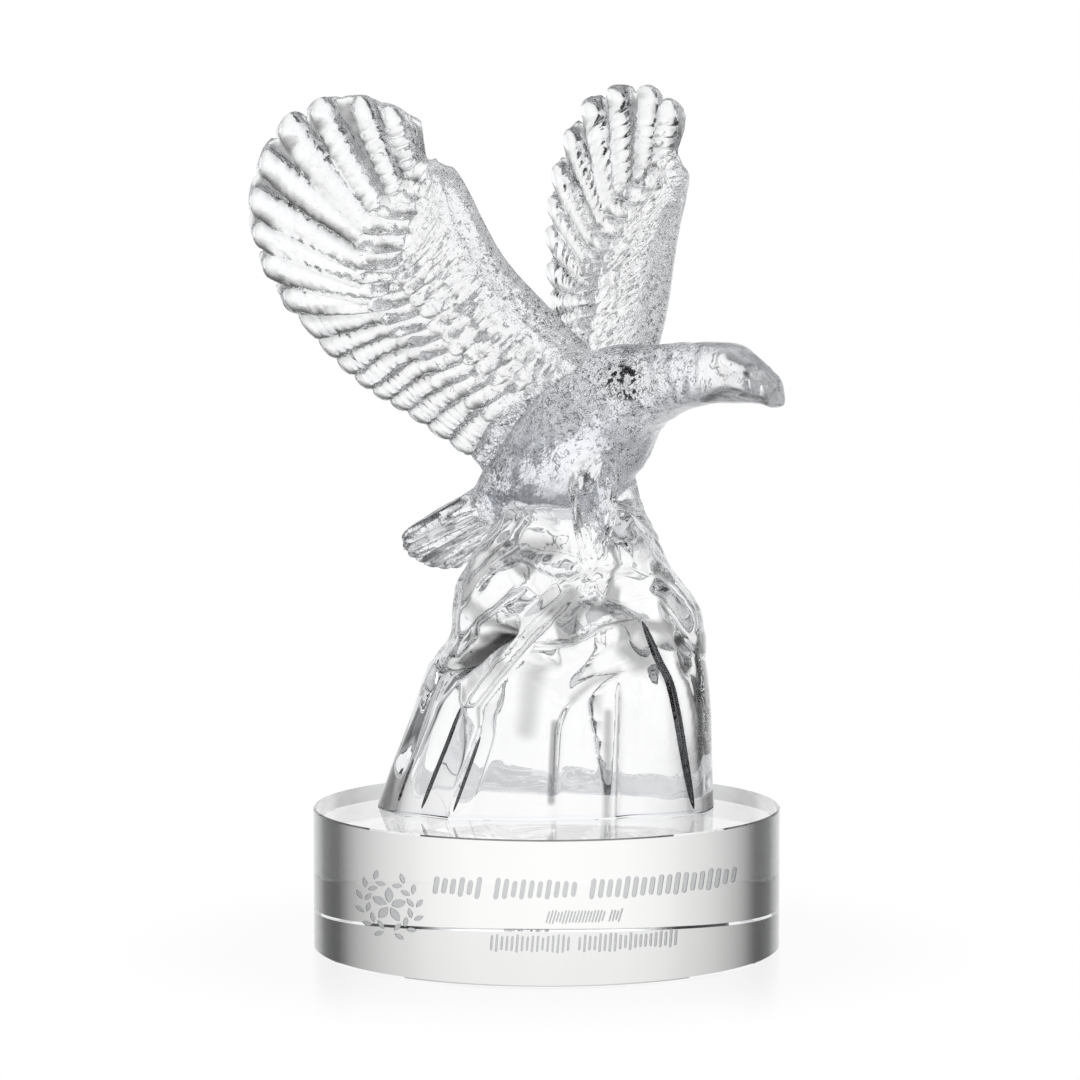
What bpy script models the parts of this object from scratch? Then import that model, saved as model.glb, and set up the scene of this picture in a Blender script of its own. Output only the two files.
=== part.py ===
"""Eagle award trophy: a cast crystal eagle taking off from a rock, on a clear round base.

All lengths below are millimetres, and make_object() turns them into metres. +Z is up and the
front of the award faces -Y. The origin is the middle of the base's underside.

The eagle is modelled in its own axes: "ahead" runs from tail to beak, "side" to its left, and
height is the award's own z. Its heading is turned towards the front. Each wing is modelled in
the axes of the wing: span from shoulder to tip, chord from leading to trailing edge, and lift
square to both, towards the wing's underside.
"""
from math import cos, pi, radians, sin

import bmesh
import bpy
import numpy as np

MM = 0.001                       # metres in a millimetre

# ---------------------------------------------------------------- driving dimensions
BASE_DIAMETER = 127.0            # a five-inch disc
BASE_HEIGHT = 38.0               # an inch and a half
BASE_CHAMFER = 0.4
BASE_SIDES = 72

SEAT_GAP = 0.3                   # the glue line between the rock and the base
ROCK_BOTTOM = BASE_HEIGHT + SEAT_GAP
ROCK_TOP = 119.0
ROCK_SIDES = 56
ROCK_POWER = 2.3                 # 2 would make its plan an ellipse
FRONT_CROWDING = 0.25            # its faces are a quarter narrower at the front, where it is carved

EAGLE_X = 6.5                    # where the eagle's own origin stands on the award
HEADING = radians(38.0)          # turned from +X towards the front

FEATHERS = 19                    # 9 primaries, then 10 secondaries
PRIMARIES = 9


# ---------------------------------------------------------------- small tools
def through(knots, values, t):
    """Read a smooth curve that passes through values at the rising knots."""
    knots = np.asarray(knots, float)
    values = np.asarray(values, float)
    slopes = np.gradient(values, knots, axis=0)
    t = np.clip(np.asarray(t, float), knots[0], knots[-1])
    i = np.clip(np.searchsorted(knots, t, side="right") - 1, 0, len(knots) - 2)
    gap = knots[i + 1] - knots[i]
    x = (t - knots[i]) / gap
    if values.ndim > 1:
        gap = gap[..., None]
        x = x[..., None]
    return ((1 + 2 * x) * (1 - x) ** 2 * values[i] + x * (1 - x) ** 2 * gap * slopes[i]
            + x * x * (3 - 2 * x) * values[i + 1] - x * x * (1 - x) * gap * slopes[i + 1])


def smooth_step(low, high, t):
    """0 below low, 1 above high, and an even S between them."""
    x = np.clip((t - low) / (high - low), 0.0, 1.0)
    return x * x * (3 - 2 * x)


def eagle_to_award(points):
    """Turn (ahead, side, height) into the award's x, y, z."""
    ahead, side, height = np.moveaxis(np.asarray(points, float), -1, 0)
    x = EAGLE_X + ahead * cos(HEADING) + side * sin(HEADING)
    y = -ahead * sin(HEADING) + side * cos(HEADING)
    return np.stack([x, y, height], axis=-1)


def make_object(name, points, faces, material, helper=False):
    """One closed mesh object from points in millimetres, with its faces turned out."""
    mesh = bpy.data.meshes.new(name)
    mesh.from_pydata([tuple(p) for p in np.asarray(points) * MM], [], faces)
    form = bmesh.new()
    form.from_mesh(mesh)
    bmesh.ops.recalc_face_normals(form, faces=form.faces)
    bmesh.ops.triangulate(form, faces=form.faces)
    form.to_mesh(mesh)
    form.free()
    mesh.materials.append(material)
    mesh.shade_smooth()
    mesh.set_sharp_from_angle(angle=radians(40))
    thing = bpy.data.objects.new(name, mesh)
    bpy.context.scene.collection.objects.link(thing)
    if helper:
        thing.hide_render = True
        thing.display_type = "WIRE"
    return thing


def loft(rings):
    """Points and faces of a closed skin over rings, an array of (ring, point, xyz).

    Every ring has the same even count of points. The first and last are closed by a ladder of
    faces between their two halves, which suits round rings and long thin ones alike.
    """
    count, around = rings.shape[:2]
    points = rings.reshape(-1, 3)
    faces = []
    for i in range(count - 1):
        for j in range(around):
            k = (j + 1) % around
            faces.append((i * around + j, i * around + k, (i + 1) * around + k, (i + 1) * around + j))
    for first in (0, (count - 1) * around):
        for j in range(around // 2 - 1):
            faces.append((first + j, first + j + 1, first + around - 2 - j, first + around - 1 - j))
    return points, faces


def oval_ring(count, power=2.0):
    """Unit superellipse of count points, starting half a step round from +x."""
    angle = (np.arange(count) + 0.5) * 2 * pi / count
    x = np.sign(np.cos(angle)) * np.abs(np.cos(angle)) ** (2 / power)
    y = np.sign(np.sin(angle)) * np.abs(np.sin(angle)) ** (2 / power)
    return x, y


# ---------------------------------------------------------------- base
def make_base(material):
    """A turned disc with polished chamfers at both edges."""
    radius = BASE_DIAMETER / 2
    levels = [(0.0, radius - BASE_CHAMFER), (BASE_CHAMFER, radius),
              (BASE_HEIGHT - BASE_CHAMFER, radius), (BASE_HEIGHT, radius - BASE_CHAMFER)]
    turn = np.arange(BASE_SIDES) * 2 * pi / BASE_SIDES
    rings = np.array([np.stack([np.cos(turn) * r, np.sin(turn) * r, np.full(BASE_SIDES, z)], axis=-1)
                      for z, r in levels])
    return make_object("round_base", *loft(rings), material)


# ---------------------------------------------------------------- rock
# Height, leftmost x, rightmost x, half depth. Its front is on -Y.
ROCK_PROFILE = np.array([
    (38.0, -46.0, 45.5, 28.5), (52.0, -41.0, 45.0, 27.5), (64.0, -36.4, 44.7, 26.5),
    (74.0, -32.6, 43.8, 25.5), (79.0, -29.8, 43.0, 24.8), (85.0, -25.4, 42.3, 24.0),
    (92.0, -24.8, 41.0, 22.8), (101.0, -23.5, 35.0, 20.5), (108.0, -19.0, 29.8, 18.0),
    (114.0, -13.5, 27.0, 15.5), (119.0, -10.0, 23.0, 13.0)])

# Carving on the front, as lines of (x, z) with the height of the ridge or depth of the groove
# and its half width.
FRONT_RIDGES = [
    ("long diagonal ridge", [(14, 99), (4, 99), (-2, 92), (-9, 85), (-18, 70)], 3.6, 4.0),
    ("left crest", [(-11, 107), (-15, 99), (-20, 94), (-24, 86)], 3.0, 3.5),
    ("lip over the alcove", [(-1, 86), (6, 86), (13, 91), (21, 93), (25, 91)], 3.2, 3.0),
    ("right lobe", [(24, 104), (31, 94), (35, 84), (38, 70), (41, 52)], 3.0, 4.5),
    ("fold left of the niche", [(2, 65), (1.5, 41)], 1.6, 3.5),
    ("arch over the niche", [(3, 62), (9.5, 73), (18, 77), (27, 78)], 1.8, 3.0),
    ("crag under the foot", [(8, 108), (16, 105), (25, 106)], 2.2, 3.0),
]
FRONT_GROOVES = [
    ("oblique hollow", [(-12, 86), (-18, 80), (-22, 75)], 3.4, 5.0),
    ("groove beside the right lobe", [(24, 89), (29, 80), (30, 72), (34, 58), (39, 41)], 4.2, 3.2),
    ("alcove", [(8, 80), (15, 68), (17, 56)], 3.6, 12.0),
    ("niche", [(14, 68), (15, 48)], 1.6, 5.0),
]
FLUTES = 4                       # slanted flutes low on the left
FLUTE_TOP = (-27.0, 70.0)        # x and z of the first flute's top
FLUTE_FOOT = (-41.0, 40.0)
FLUTE_STEP = (5.4, 7.6)          # spacing along x at the tops and at the feet

# Carving on the back, plainer, in the same way.
BACK_RIDGES = [
    ("spine", [(4, 112), (0, 96), (-6, 80), (-12, 60), (-16, 41)], 3.4, 5.0),
    ("right buttress", [(24, 104), (28, 84), (30, 62), (34, 41)], 3.0, 5.0),
    ("left buttress", [(-14, 104), (-24, 84), (-30, 62), (-38, 41)], 2.8, 4.5),
    ("shelf", [(-8, 90), (6, 86), (20, 88)], 2.4, 4.0),
]
BACK_GROOVES = [
    ("deep cleft", [(16, 100), (12, 80), (14, 60), (16, 44)], 3.2, 4.5),
    ("left cleft", [(-10, 96), (-18, 76), (-25, 54)], 2.8, 4.0),
]


def distance_to_line(x, z, line):
    """Shortest distance from each (x, z) to a line of straight pieces."""
    best = np.full(np.shape(x), 1e9)
    for (x0, z0), (x1, z1) in zip(line[:-1], line[1:]):
        length = (x1 - x0) ** 2 + (z1 - z0) ** 2
        along = np.clip(((x - x0) * (x1 - x0) + (z - z0) * (z1 - z0)) / length, 0, 1)
        best = np.minimum(best, np.hypot(x - x0 - along * (x1 - x0), z - z0 - along * (z1 - z0)))
    return best


def carving(x, z, ridges, grooves):
    """How far the carving stands out of the rock's plain body at each (x, z)."""
    out = np.zeros(np.shape(x))
    for _, line, height, width in ridges:
        out += height * np.exp(-(distance_to_line(x, z, line) / width) ** 2)
    for _, line, depth, width in grooves:
        out -= depth * np.exp(-(distance_to_line(x, z, line) / width) ** 2)
    return out


def flute_lines():
    """The slanted flutes low on the front's left, each a ridge of its own."""
    lines = []
    for i in range(FLUTES):
        top = (FLUTE_TOP[0] + i * FLUTE_STEP[0], FLUTE_TOP[1] - i)
        foot = (FLUTE_FOOT[0] + i * FLUTE_STEP[1], FLUTE_FOOT[1])
        lines.append(("flute", [top, foot], 2.2, 1.9))
    return lines


def rock_surface(angle, height):
    """x, y of the rock's surface at each angle round it and each height."""
    _, left, right, depth = np.moveaxis(through(ROCK_PROFILE[:, 0], ROCK_PROFILE, height), -1, 0)
    middle = (left + right) / 2
    half = (right - left) / 2
    radius = ((np.abs(np.cos(angle)) / half) ** ROCK_POWER
              + (np.abs(np.sin(angle)) / depth) ** ROCK_POWER) ** (-1 / ROCK_POWER)
    x = middle + radius * np.cos(angle)
    facing_front = smooth_step(0.1, 0.5, -np.sin(angle))
    facing_back = smooth_step(0.1, 0.5, np.sin(angle))
    relief = facing_front * carving(x, height, FRONT_RIDGES + flute_lines(), FRONT_GROOVES)
    relief += facing_back * carving(x, height, BACK_RIDGES, BACK_GROOVES)
    radius = radius + relief * (1 - 0.6 * smooth_step(112, ROCK_TOP, height))
    return middle + radius * np.cos(angle), radius * np.sin(angle)


def rock_rings(sides, levels):
    """Rings up the rock, closer together where the front faces."""
    turn = (np.arange(sides) + 0.5) / sides * 2 * pi
    angle, height = np.meshgrid(turn - FRONT_CROWDING * np.cos(turn), levels)
    x, y = rock_surface(angle, height)
    return np.stack([x, y, height], axis=-1)


# ---------------------------------------------------------------- body, neck and head
# Ahead, height of the middle, half height, half width, from the rump to the beak's tip.
BODY_STATIONS = np.array([
    (-29.0, 121.0, 6.5, 6.0), (-26.0, 121.5, 8.5, 8.5), (-20.0, 124.5, 11.5, 11.0),
    (-10.0, 130.0, 15.0, 14.2), (0.0, 136.0, 18.0, 15.9), (9.0, 140.5, 20.5, 15.4),
    (17.0, 145.5, 18.0, 14.0), (25.0, 151.2, 12.0, 12.3), (33.0, 154.3, 9.6, 10.7),
    (41.0, 155.9, 8.5, 9.3), (48.0, 156.5, 8.1, 8.2), (55.0, 156.2, 7.6, 7.3),
    (60.0, 154.8, 6.1, 5.4), (62.0, 154.1, 5.5, 4.8), (64.0, 153.2, 4.8, 4.4),
    (67.0, 151.4, 3.7, 3.8), (68.6, 149.9, 1.8, 2.0)])
FLANK_POWER = 2.8                        # its flanks and legs are flatter than an ellipse's


def body_rings(count, around):
    """Round rings from the rump to the tip of the beak."""
    ahead = through(np.linspace(0, 1, len(BODY_STATIONS)), BODY_STATIONS[:, 0],
                    np.linspace(0, 1, count))
    station = through(BODY_STATIONS[:, 0], BODY_STATIONS, ahead)
    side, up = oval_ring(around)
    flat_side, flat_up = oval_ring(around, FLANK_POWER)
    flatness = np.maximum(0.9 * smooth_step(-24, -10, ahead), smooth_step(42, 47, ahead))[:, None]
    side = side + (flat_side - side) * flatness
    up = up + (flat_up - up) * flatness
    rings = np.stack([station[:, 0:1] + 0 * side, station[:, 3:4] * side,
                      station[:, 1:2] + station[:, 2:3] * up], axis=-1)
    return eagle_to_award(rings)


# ---------------------------------------------------------------- tail
TAIL_ROOT = (-19.0, 0.0, 122.8)          # ahead, side, height
TAIL_TIP = (-54.5, 0.0, 102.3)
TAIL_ROLL = radians(23.0)                # its left side hangs lower
TAIL_ROOT_HALF_WIDTH = 8.5
TAIL_TIP_HALF_WIDTH = 13.8
TAIL_FEATHERS = 7
TAIL_HALF_THICKNESS = (4.4, 2.8)         # at the root and at the tip
TAIL_RIDGE = 0.7


def feather_profile(x):
    """Height across a feather, 0 at its edges and 1 on its crest, for x from -1 to 1."""
    return np.sqrt(np.clip(1 - x * x, 0.0, 1.0))


def tail_rings(across, along):
    """Rings round the fan, one for each step across it, each going out over the top and back."""
    root = np.array(TAIL_ROOT)
    tip = np.array(TAIL_TIP)
    run = tip - root
    length = np.linalg.norm(run)
    run = run / length
    sideways = np.array([0.0, cos(TAIL_ROLL), -sin(TAIL_ROLL)])
    up = np.cross(run, sideways)
    up = up * np.sign(up[2])
    place = np.linspace(-1, 1, across)
    in_feather = (place + 1) / 2 * TAIL_FEATHERS
    x = 2 * (in_feather - np.floor(np.minimum(in_feather, TAIL_FEATHERS - 1e-6))) - 1
    crest = feather_profile(x)
    reach = length * (1 - 0.16 * np.abs(place) ** 2.5) - 1.3 * (1 - crest)
    edge = np.sqrt(np.clip(1 - (np.abs(place)) ** 6, 0.06, 1))
    t = (1 - np.cos(np.linspace(0, pi, along))) / 2
    rings = []
    for i in range(across):
        half_width = TAIL_ROOT_HALF_WIDTH + (TAIL_TIP_HALF_WIDTH - TAIL_ROOT_HALF_WIDTH) * t
        thick = TAIL_HALF_THICKNESS[0] + (TAIL_HALF_THICKNESS[1] - TAIL_HALF_THICKNESS[0]) * t
        thick = (thick - TAIL_RIDGE * (1 - crest[i])) * edge[i]
        thick = thick * np.sqrt(np.clip(1 - smooth_step(0.86, 1.0, t) ** 2, 0.01, 1))
        line = root + np.outer(t * reach[i], run) + np.outer(place[i] * half_width, sideways)
        top = line + np.outer(thick, up)
        under = line - np.outer(thick, up)
        rings.append(np.concatenate([top, under[::-1]]))
    return eagle_to_award(np.array(rings))


# ---------------------------------------------------------------- legs
# Ahead, side, height, half length, half width of each ring, from inside the body to the rock.
NEAR_LEG = np.array([(15.5, -8.5, 136.0, 6.5, 5.0), (16.5, -11.4, 130.0, 7.4, 4.8),
                     (17.9, -13.2, 123.0, 6.6, 4.6), (18.2, -13.4, 117.0, 5.8, 4.2),
                     (17.4, -13.0, 112.0, 3.8, 3.6), (17.0, -12.8, 106.0, 2.2, 2.6)])
FAR_LEG = np.array([(9.5, 6.0, 137.0, 6.5, 6.0), (9.4, 7.5, 130.0, 5.4, 5.0),
                    (10.0, 8.3, 124.0, 4.9, 4.6), (12.3, 8.8, 117.0, 5.2, 5.0),
                    (15.0, 9.0, 110.0, 6.2, 6.0), (17.0, 9.0, 102.0, 8.0, 8.0)])


def leg_rings(stations, count, around):
    """Level rings down a leg."""
    t = np.linspace(0, 1, len(stations))
    station = through(t, stations, np.linspace(0, 1, count))
    along, side = oval_ring(around, FLANK_POWER)
    rings = np.stack([station[:, 0:1] + station[:, 3:4] * along,
                      station[:, 1:2] + station[:, 4:5] * side,
                      station[:, 2:3] + 0 * along], axis=-1)
    return eagle_to_award(rings)


# ---------------------------------------------------------------- wings
# Rails across the wing, each a line of (feather number, span, chord). Feather 0 begins at the
# wing's outer leading edge and feather 19 ends at the root.
LEAD_RAIL = np.array([(0, 61.5, -21.0), (2, 59.0, -23.0), (4, 56.5, -25.2), (6, 50.5, -24.0),
                      (8, 43.5, -21.2), (11, 32.0, -17.6), (15, 15.0, -15.8), (19, -3.0, -13.4)])
COVERT_RAIL = np.array([(0, 62.5, -20.8), (2, 56.5, -10.5), (4, 51.5, -1.0), (6, 47.0, 8.5),
                        (8, 41.5, 13.6), (11, 29.5, 15.8), (15, 12.0, 17.4), (19, -7.6, 10.0)])
QUILL_RAIL = np.array([(0, 64.0, -21.5), (1.5, 62.2, -7.5), (3.5, 61.5, 9.6), (5.5, 55.5, 20.2),
                       (7.5, 48.8, 25.4), (9.5, 41.0, 29.0), (13, 25.0, 29.6), (16, 9.0, 30.0),
                       (19, -8.6, 25.0)])
TIP_RAIL = np.array([(0, 72.0, -28.5), (1.5, 85.0, -15.0), (3.5, 93.0, 12.3), (5.5, 85.5, 37.0),
                     (7.5, 70.4, 47.4), (9.5, 51.0, 49.0), (12.5, 30.0, 48.4), (15.5, 12.8, 44.8),
                     (19, -14.0, 43.8)])
RAIL_PLACES = (0.0, 0.34, 0.55, 1.0)     # where the four rails lie, from leading edge to tips

SPAN_BEND = -2.99e-3                     # lift of the wing for each squared millimetre of span
CHORD_BEND = 1.91e-3                     # and of chord
PRIMARY_NOTCH = 4.6                      # depth of the gaps between the primaries' tips
SECONDARY_NOTCH = 1.2
WING_HALF_THICKNESS = (2.6, 2.2)         # at the leading edge and towards the tips
FEATHER_RELIEF = 0.9                     # how far a feather's crest stands above its grooves
TIER_STEP = 0.7                          # each tier of coverts lies this far proud of the next
WING_ROWS = (0.0, 0.03, 0.12, 0.31, 0.37, 0.52, 0.6, 0.78, 0.92, 0.98, 1.0)

WRIST_SPAN = 48.0                        # the wrist swells the leading edge here
WRIST_WIDTH = 16.0

# Shoulder (ahead, side, height), the wing's sweep, rise and twist, its hand, and its wrist's swell.
NEAR_WING = ((3.5, -12.8, 158.0), radians(31.6), radians(36.0), radians(14.2), 1, 0.9)
FAR_WING = ((6.8, -13.0, 153.3), radians(17.9), radians(50.4), radians(26.6), -1, -2.0)

# Depth of the gap after each primary, as a share of PRIMARY_NOTCH.
NEAR_GAPS = (0.05, 0.1, 0.6, 0.45, 0.25, 0.2, 0.65, 0.65, 0.45)
FAR_GAPS = (0.5, 0.4, 0.4, 0.65, 0.75, 0.65, 0.65, 0.65, 0.5)


def across_feather(number):
    """Place across its own feather, from -1 to 1, of each feather number."""
    whole = np.floor(np.minimum(number, FEATHERS - 1e-6))
    return 2 * (number - whole) - 1


def wing_plan(number, out):
    """Span and chord at a feather number and a distance out, 0 at the leading edge, 1 at the tip."""
    rails = [through(r[:, 0], r[:, 1:], number) for r in (LEAD_RAIL, COVERT_RAIL, QUILL_RAIL, TIP_RAIL)]
    flat = np.stack(rails)
    return through(RAIL_PLACES, flat.reshape(4, -1), out).reshape(out.shape + rails[0].shape)


def wing_rings(numbers, swell, gaps):
    """Rings round the wing, one for each feather number, in span, chord and lift."""
    out = np.array(WING_ROWS)
    rings = []
    for number in numbers:
        crest = feather_profile(across_feather(number))
        primary = 1 - smooth_step(PRIMARIES - 1, PRIMARIES + 1, number)
        plan = wing_plan(np.array(number), np.linspace(0, 1, 41))
        length = np.linalg.norm(np.diff(plan, axis=0), axis=-1).sum()
        gap = PRIMARY_NOTCH * gaps[int(np.clip(round(number) - 1, 0, PRIMARIES - 1))]
        notch = SECONDARY_NOTCH + (gap - SECONDARY_NOTCH) * primary
        reach = 1 - notch * (1 - crest) / length
        t = out * reach
        span, chord = np.moveaxis(wing_plan(np.array(number), t), -1, 0)
        wrist = np.exp(-((span - WRIST_SPAN) / WRIST_WIDTH) ** 2)
        chord = chord - swell * wrist * (1 - smooth_step(0, 0.4, t))
        bare = smooth_step(RAIL_PLACES[1], RAIL_PLACES[2], t)
        half = WING_HALF_THICKNESS[0] + (WING_HALF_THICKNESS[1] - WING_HALF_THICKNESS[0]) * t
        half = half - FEATHER_RELIEF * (1 - crest) * (0.25 + 0.75 * bare)
        half = half + TIER_STEP * (1 - smooth_step(RAIL_PLACES[1] - 0.03, RAIL_PLACES[1] + 0.03, t))
        half = half + TIER_STEP * (1 - smooth_step(RAIL_PLACES[2] - 0.03, RAIL_PLACES[2] + 0.05, t))
        nose = np.clip(t * length / 3.2, 0, 1)
        tail = np.clip((reach - t) * length / 2.6, 0, 1)
        half = half * np.sqrt(np.clip(1 - (1 - nose) ** 2, 0.05, 1))
        half = half * np.sqrt(np.clip(1 - (1 - tail) ** 2, 0.04, 1))
        half = half * np.sqrt(np.clip(1 - (1 - np.clip(number / 0.5, 0, 1)) ** 2, 0.08, 1))
        lift = SPAN_BEND * span ** 2 + CHORD_BEND * chord ** 2
        under = np.stack([span, chord, lift + half], axis=-1)
        over = np.stack([span, chord, lift - half], axis=-1)
        rings.append(np.concatenate([under, over[::-1]]))
    return np.array(rings)


def place_wing(rings, wing):
    """Put a wing's span, chord and lift on the eagle's shoulder."""
    shoulder, sweep, rise, twist, hand, _ = wing
    span_way = np.array([-sin(sweep) * cos(rise), -cos(sweep) * cos(rise), sin(rise)])
    back = np.array([-1.0, 0.0, 0.0])
    back = back - back.dot(span_way) * span_way
    back = back / np.linalg.norm(back)
    chord_way = cos(twist) * back + sin(twist) * np.cross(span_way, back)
    lift_way = np.cross(span_way, chord_way)
    points = np.array(shoulder) + rings @ np.array([span_way, chord_way, lift_way])
    points[..., 1] = points[..., 1] * hand
    return eagle_to_award(points)


def wing_columns():
    """Feather numbers of the columns: four to a primary, two to a secondary."""
    numbers = []
    for feather in range(FEATHERS):
        steps = (0.0, 0.2, 0.5, 0.8) if feather < PRIMARIES else (0.0, 0.5)
        numbers += [feather + step for step in steps]
    return numbers + [FEATHERS]


# ---------------------------------------------------------------- finish
def glass(name, roughness):
    """Clear crystal, very faintly violet."""
    material = bpy.data.materials.new(name)
    material.use_nodes = True
    shader = material.node_tree.nodes["Principled BSDF"]
    shader.inputs["Base Color"].default_value = (0.93, 0.94, 0.97, 1.0)
    shader.inputs["Metallic"].default_value = 0.0
    shader.inputs["Roughness"].default_value = roughness
    shader.inputs["IOR"].default_value = 1.52
    shader.inputs["Transmission Weight"].default_value = 1.0
    return material


def join_into(body, others):
    """Cast other closed forms into one with the body."""
    for other in others:
        cut = body.modifiers.new("join " + other.name, "BOOLEAN")
        cut.operation = "UNION"
        cut.solver = "EXACT"
        cut.object = other


def build():
    for old in list(bpy.data.objects):
        bpy.data.objects.remove(old, do_unlink=True)
    cast = glass("cast crystal", 0.08)
    polished = glass("polished crystal", 0.0)
    make_base(polished)
    levels = [ROCK_BOTTOM, 44, 50, 56, 61, 66, 71, 75, 79, 83, 87, 91, 95, 99, 104, 109, 114,
              ROCK_TOP]
    rock = make_object("eagle_on_rock", *loft(rock_rings(ROCK_SIDES, levels)), cast)
    body = make_object("form_body", *loft(body_rings(23, 18)), cast, helper=True)
    tail_columns = 3 * TAIL_FEATHERS + 1
    tail = make_object("form_tail", *loft(tail_rings(tail_columns, 6)), cast, helper=True)
    legs = [make_object("form_" + name, *loft(leg_rings(stations, 6, 10)), cast, helper=True)
            for name, stations in (("near_leg", NEAR_LEG), ("far_leg", FAR_LEG))]
    wings = []
    for name, wing, gaps in (("near_wing", NEAR_WING, NEAR_GAPS), ("far_wing", FAR_WING, FAR_GAPS)):
        rings = place_wing(wing_rings(wing_columns(), wing[-1], gaps), wing)
        wings.append(make_object("form_" + name, *loft(rings), cast, helper=True))
    join_into(rock, [body, tail] + legs + wings)


build()
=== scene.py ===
"""Dressed model of the eagle award: cast crystal eagle and rock on an engraved polished base."""
from math import cos, pi, radians, sin

import bmesh
import bpy
import numpy as np
from mathutils.geometry import delaunay_2d_cdt
from mathutils.kdtree import KDTree
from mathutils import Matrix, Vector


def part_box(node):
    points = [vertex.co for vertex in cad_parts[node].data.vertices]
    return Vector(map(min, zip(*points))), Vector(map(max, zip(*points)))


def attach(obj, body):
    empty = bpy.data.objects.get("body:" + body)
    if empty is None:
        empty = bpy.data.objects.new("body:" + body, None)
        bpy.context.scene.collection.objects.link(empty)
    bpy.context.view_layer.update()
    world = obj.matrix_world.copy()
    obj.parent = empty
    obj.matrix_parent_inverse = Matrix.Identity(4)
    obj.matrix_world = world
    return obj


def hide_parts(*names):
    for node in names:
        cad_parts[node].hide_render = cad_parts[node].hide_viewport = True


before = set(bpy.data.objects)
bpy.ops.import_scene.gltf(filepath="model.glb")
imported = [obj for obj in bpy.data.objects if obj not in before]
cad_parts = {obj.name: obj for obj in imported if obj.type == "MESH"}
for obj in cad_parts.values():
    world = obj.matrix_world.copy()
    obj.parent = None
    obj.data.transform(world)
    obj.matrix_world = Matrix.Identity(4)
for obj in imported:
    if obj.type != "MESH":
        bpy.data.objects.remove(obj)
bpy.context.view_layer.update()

MM = 0.001                       # metres in a millimetre; shapes below are worked in millimetres

# ---------------- sizes shared with the CAD
BASE_LOW, BASE_HIGH = (np.array(corner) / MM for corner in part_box("round_base"))
BASE_RADIUS = float(BASE_HIGH[0] - BASE_LOW[0]) / 2
BASE_HEIGHT = float(BASE_HIGH[2])
BASE_CHAMFER = 0.4
BASE_SIDES = 240

ROCK_BOTTOM = float(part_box("eagle_on_rock")[0][2]) / MM
ROCK_TOP = 119.0
ROCK_SIDES = 248
ROCK_POWER = 2.3                 # of the superellipse that its plan is
FRONT_CROWDING = 0.54            # how much closer its points stand where it faces the front

EAGLE_X = 6.5                    # where the eagle's own ahead and side start from
HEADING = radians(38.0)          # turned from +X towards the camera

FEATHERS = 19                    # along a wing, the primaries first
PRIMARIES = 9


# ---------------- small tools
def through(knots, values, t):
    """Read a smooth curve that passes through values at the rising knots."""
    knots = np.asarray(knots, float)
    values = np.asarray(values, float)
    slopes = np.gradient(values, knots, axis=0)
    t = np.clip(np.asarray(t, float), knots[0], knots[-1])
    i = np.clip(np.searchsorted(knots, t, side="right") - 1, 0, len(knots) - 2)
    gap = knots[i + 1] - knots[i]
    x = (t - knots[i]) / gap
    if values.ndim > 1:
        gap = gap[..., None]
        x = x[..., None]
    return ((1 + 2 * x) * (1 - x) ** 2 * values[i] + x * (1 - x) ** 2 * gap * slopes[i]
            + x * x * (3 - 2 * x) * values[i + 1] - x * x * (1 - x) * gap * slopes[i + 1])


def smooth_step(low, high, t):
    """0 below low, 1 above high, and an even S between them."""
    x = np.clip((np.asarray(t, float) - low) / (high - low), 0.0, 1.0)
    return x * x * (3 - 2 * x)


def bell(distance, width):
    """1 at no distance, falling smoothly to almost 0 at twice the width."""
    return np.exp(-(distance / width) ** 2)


def dome(x, least=0.0):
    """Half circle: 1 at 0, down to 0 at -1 and 1, its square never under least."""
    return np.sqrt(np.clip(1 - x * x, least, 1.0))


def mix(a, b, share):
    """From a at a share of 0 to b at a share of 1."""
    return a + (b - a) * share


def together(*parts):
    """Points from their coordinates, each a number or an array."""
    return np.stack(np.broadcast_arrays(*parts), axis=-1)


def apart(points):
    """The coordinates of points, one array each."""
    return np.moveaxis(np.asarray(points, float), -1, 0)


def evenly_along(stations, count):
    """Count places on the smooth curve through stations."""
    return through(np.linspace(0, 1, len(stations)), stations, np.linspace(0, 1, count))


def scatter(*cells, seed=0):
    """A steady number from 0 to 1 for each set of whole numbers."""
    h = np.full(np.shape(cells[0]), seed * 1274126177 + 374761393, np.int64)
    with np.errstate(over="ignore"):         # only the low bits are kept
        for cell, factor in zip(cells, (374761393, 668265263, 2147483647)):
            h = (h ^ (np.asarray(cell, np.int64) * factor)) & 0xFFFFFFFF
            h = ((h ^ (h >> 13)) * 1274126177) & 0xFFFFFFFF
        h = ((h ^ (h >> 15)) * 2246822519) & 0xFFFFFFFF
    return ((h ^ (h >> 16)) & 0xFFFFFF) / float(0xFFFFFF)


def noise(points, size, seed):
    """Smooth noise from -1 to 1 at (x, y, z) points, with lumps about size across."""
    place = np.asarray(points, float) / size
    cell = np.floor(place).astype(np.int64)
    f = place - cell
    f = f * f * (3 - 2 * f)
    total = np.zeros(place.shape[:-1])
    for corner in range(8):
        dx, dy, dz = corner & 1, corner >> 1 & 1, corner >> 2 & 1
        weight = ((f[..., 0] if dx else 1 - f[..., 0]) * (f[..., 1] if dy else 1 - f[..., 1])
                  * (f[..., 2] if dz else 1 - f[..., 2]))
        total += weight * scatter(cell[..., 0] + dx, cell[..., 1] + dy, cell[..., 2] + dz, seed=seed)
    return 2 * total - 1


def eagle_to_award(points):
    """Turn (ahead, side, height) into the award's x, y, z."""
    ahead, side, height = apart(points)
    x = EAGLE_X + ahead * cos(HEADING) + side * sin(HEADING)
    y = -ahead * sin(HEADING) + side * cos(HEADING)
    return together(x, y, height)


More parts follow.
